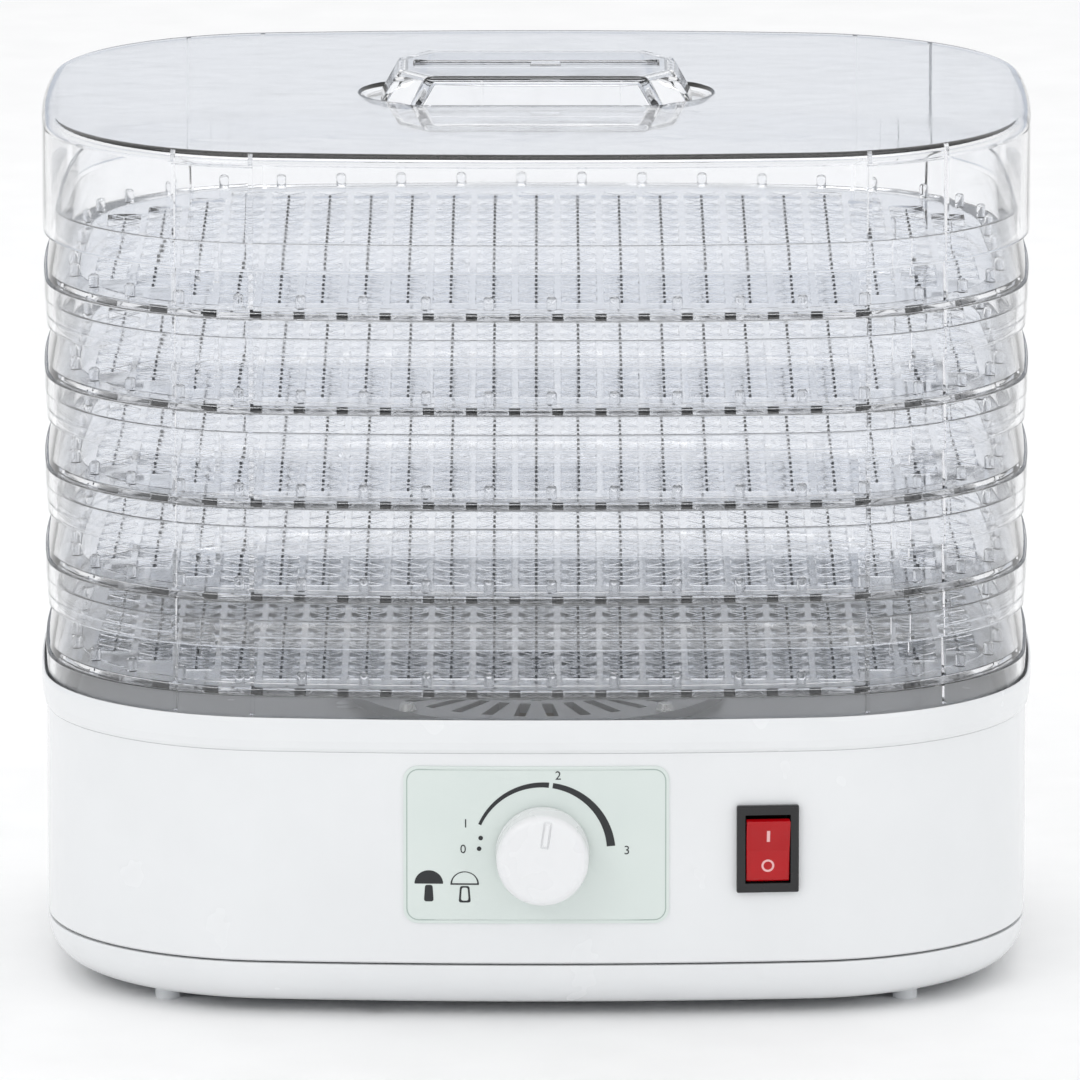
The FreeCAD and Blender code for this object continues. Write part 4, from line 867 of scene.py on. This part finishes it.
def numeral(word, x, z, size):
    """Plain numeral on the label, centred on a point."""
    data = bpy.data.curves.new("numeral", "FONT")
    data.body, data.size, data.extrude = word, size, 0.04
    data.align_x, data.align_y = "CENTER", "CENTER"
    thing = bpy.data.objects.new("numeral", data)
    bpy.context.scene.collection.objects.link(thing)
    mesh = evaluated(thing)
    mesh.transform(Matrix.Translation((x, z, 0.02)))
    return on_front(mesh)


def inked(name, outer, holes=()):
    """Flat printed shape, a hair thick, wrapped round the label."""
    return on_front(plate(name, outer, list(holes), INK_LOW, INK_HIGH))


def mushroom(x, z, filled):
    """Simple pictogram: a half-round cap over a short stem, solid or outlined."""
    def cap(half, rise, low):
        turns = [math.radians(6 * k) for k in range(31)]
        curve = [(x + half * math.cos(a), z + low + rise * math.sin(a)) for a in turns]
        return soften(curve, 0.3, 2)

    def stem(half, low, high):
        return soften([(x - half, z + high), (x - half * 1.3, z + low), (x + half * 1.3, z + low),
                       (x + half, z + high)], 0.8, 4)

    if filled:
        shapes = [(cap(4.6, 4.4, 0.6), []), (stem(1.2, -5.2, 0.2), [])]
    else:
        shapes = [(cap(4.6, 4.4, 0.6), [cap(4.0, 3.6, 1.1)]),
                  (stem(1.5, -5.2, 0.2), [stem(0.95, -4.6, -0.3)])]
    return [inked("pictogram", outer, holes) for outer, holes in shapes]


def add_label_print():
    """Dial scale, numerals and pictograms printed on the label, and its raised rim."""
    ink = [inked("scale", arc_band(first, last, thin, thick, SCALE_RADIUS))
           for first, last, thin, thick in ((156, 84.6, 1.0, 1.7), (81.4, 5, 1.7, 2.7))]
    for angle in (167, 177):
        a = math.radians(angle)
        dot = circle(KNOB_X + DOT_RADIUS * math.cos(a), KNOB_Z + DOT_RADIUS * math.sin(a), 0.75, 20)
        ink.append(inked("dot", dot))
    for word, x, z in (("1", -24.6, 9.2), ("0", -25.4, 0.8), ("2", 5.0, 24.9), ("3", 27.0, 0.4)):
        ink.append(numeral(word, KNOB_X + x, KNOB_Z + z, 4.0))
    ink += mushroom(-34.4, 44.9, True) + mushroom(-22.9, 44.6, False)
    show("label_print", finished(joined("label_print", ink)), MATERIALS["label_ink"], "base")
    low, high = LABEL_LOW / MM, LABEL_HIGH / MM
    half_x, half_z = (high.x - low.x) / 2, (high.z - low.z) / 2
    middle = (low.z + high.z) / 2
    rim = plate("rim", rounded_box(half_x - 0.9, half_z - 0.9, 3.9, 0, middle),
                [rounded_box(half_x - 1.25, half_z - 1.25, 3.6, 0, middle)], INK_LOW, INK_HIGH - 0.01)
    show("label_border", finished(on_front(rim)), MATERIALS["label_rim"], "base")


def add_knob():
    """Hollow round knob with a domed edge, and a raised pointer rib in a shallow groove."""
    radius, gap, height = KNOB_RADIUS, KNOB_GAP, KNOB_HEIGHT
    profile = [(3, 13.0), (3, 4.5), (5, 4.5), (5, 12.4), (12.6, 12.4), (13.2, 11.6), (13.4, gap)]
    profile += soften([(13.4, gap), (radius, gap), (radius - 0.25, height - 2.6),
                       (radius - 2.6, height)], 0.4, 3, False)[1:-1]
    for k in range(1, 9):
        angle = math.radians(90 * k / 8)
        profile.append((radius - 3.0 + 2.75 * math.cos(angle), height - 2.75 + 2.75 * math.sin(angle)))
    profile.append((1, height - 0.05))
    knob = lathe("knob", profile, 96)
    pointer = block("pointer", (1.5, 7.6, 1.65), (0, radius - 6.2, height - 1.05), 0, 0.4)
    groove = block("groove", (2.7, 8.8, 2), (0, radius - 6.2, height - 0.45), 0, 0.3)
    knob = combine(combine(knob, groove, "DIFFERENCE"), pointer, "UNION")
    place = Matrix.Translation((KNOB_X * MM, LABEL_LOW.y, KNOB_Z * MM))
    place = place @ Matrix.Rotation(math.pi / 2, 4, "X")
    place = place @ Matrix.Rotation(math.radians(KNOB_REST), 4, "Z")
    show("dial", finished(knob), MATERIALS["white_knob"], "knob", ["control_knob"],
         place)


def switch_place(lift):
    """Frame of the switch: X to its right, Y up, Z outwards, moved outwards from the pivot."""
    joint = JOINTS["rocker_tilt"]
    right = -Vector(joint["axis"]).normalized()
    up = Vector((0, 0, 1))
    out = right.cross(up)
    place = Matrix((right, up, out)).transposed().to_4x4()
    place.translation = Vector(joint["pos_m"]) + out * lift
    return place


def add_switch():
    """Black bezel with rounded edges, and a red rocker with its on and off marks."""
    bezel = block("bezel", BEZEL, (0, 0, 0), 0, 0.55)
    case = combine(bezel, block("case", SWITCH_CASE, (0, 0, -22), 0, 0.3), "UNION")
    case = combine(case, block("well", (14.6, 22.4, 20), (0, 0, -9.8), 0, 0.25), "DIFFERENCE")
    case = combine(case, block("lamp_well", (11, 5, 8), (0, 0, -15), 0, 0.2), "DIFFERENCE")
    show("switch_bezel", finished(case), MATERIALS["black_plastic"], "base",
         ["switch_frame"], switch_place(0.001))

    end = ROCKER_HALF_LENGTH
    side = soften([(-end, 4.1), (-end, 1.2), (-6, -5), (6, -5), (end, 1.2), (end, 4.1), (0, 3.2)],
                  0.8, 4)
    loops = [[(x, y, z) for y, z in side] for x in (-ROCKER_HALF_WIDTH, ROCKER_HALF_WIDTH)]
    body = bevelled(rings_mesh("rocker", loops, False), 0.4, 3, 50)
    tilt = switch_place(0) @ Matrix.Rotation(math.radians(ROCKER_TILT), 4, "X")
    show("rocker_cap", finished(body), MATERIALS["red_lens"], "rocker", ["switch_rocker"],
         tilt)

    marks = [plate("on_mark", [(-0.5, 3.3), (0.5, 3.3), (0.5, 7.2), (-0.5, 7.2)], [], -0.1, 0.05),
             plate("off_mark", circle(0, -4.9, 2.05, 40), [circle(0, -4.9, 1.4, 40)], -0.1, 0.05)]
    mark = joined("marks", marks)
    for vertex in mark.vertices:
        vertex.co.z += 3.2 + 0.9 * abs(vertex.co.y) / end
    show("rocker_marks", finished(mark), MATERIALS["switch_mark"], "rocker", [], tilt)


MATERIALS = make_materials()
add_camera()
add_floor()
add_light()
paint_nodes()
add_trays()
add_lid()
add_deck()
add_element()
add_label_print()
add_knob()
add_switch()
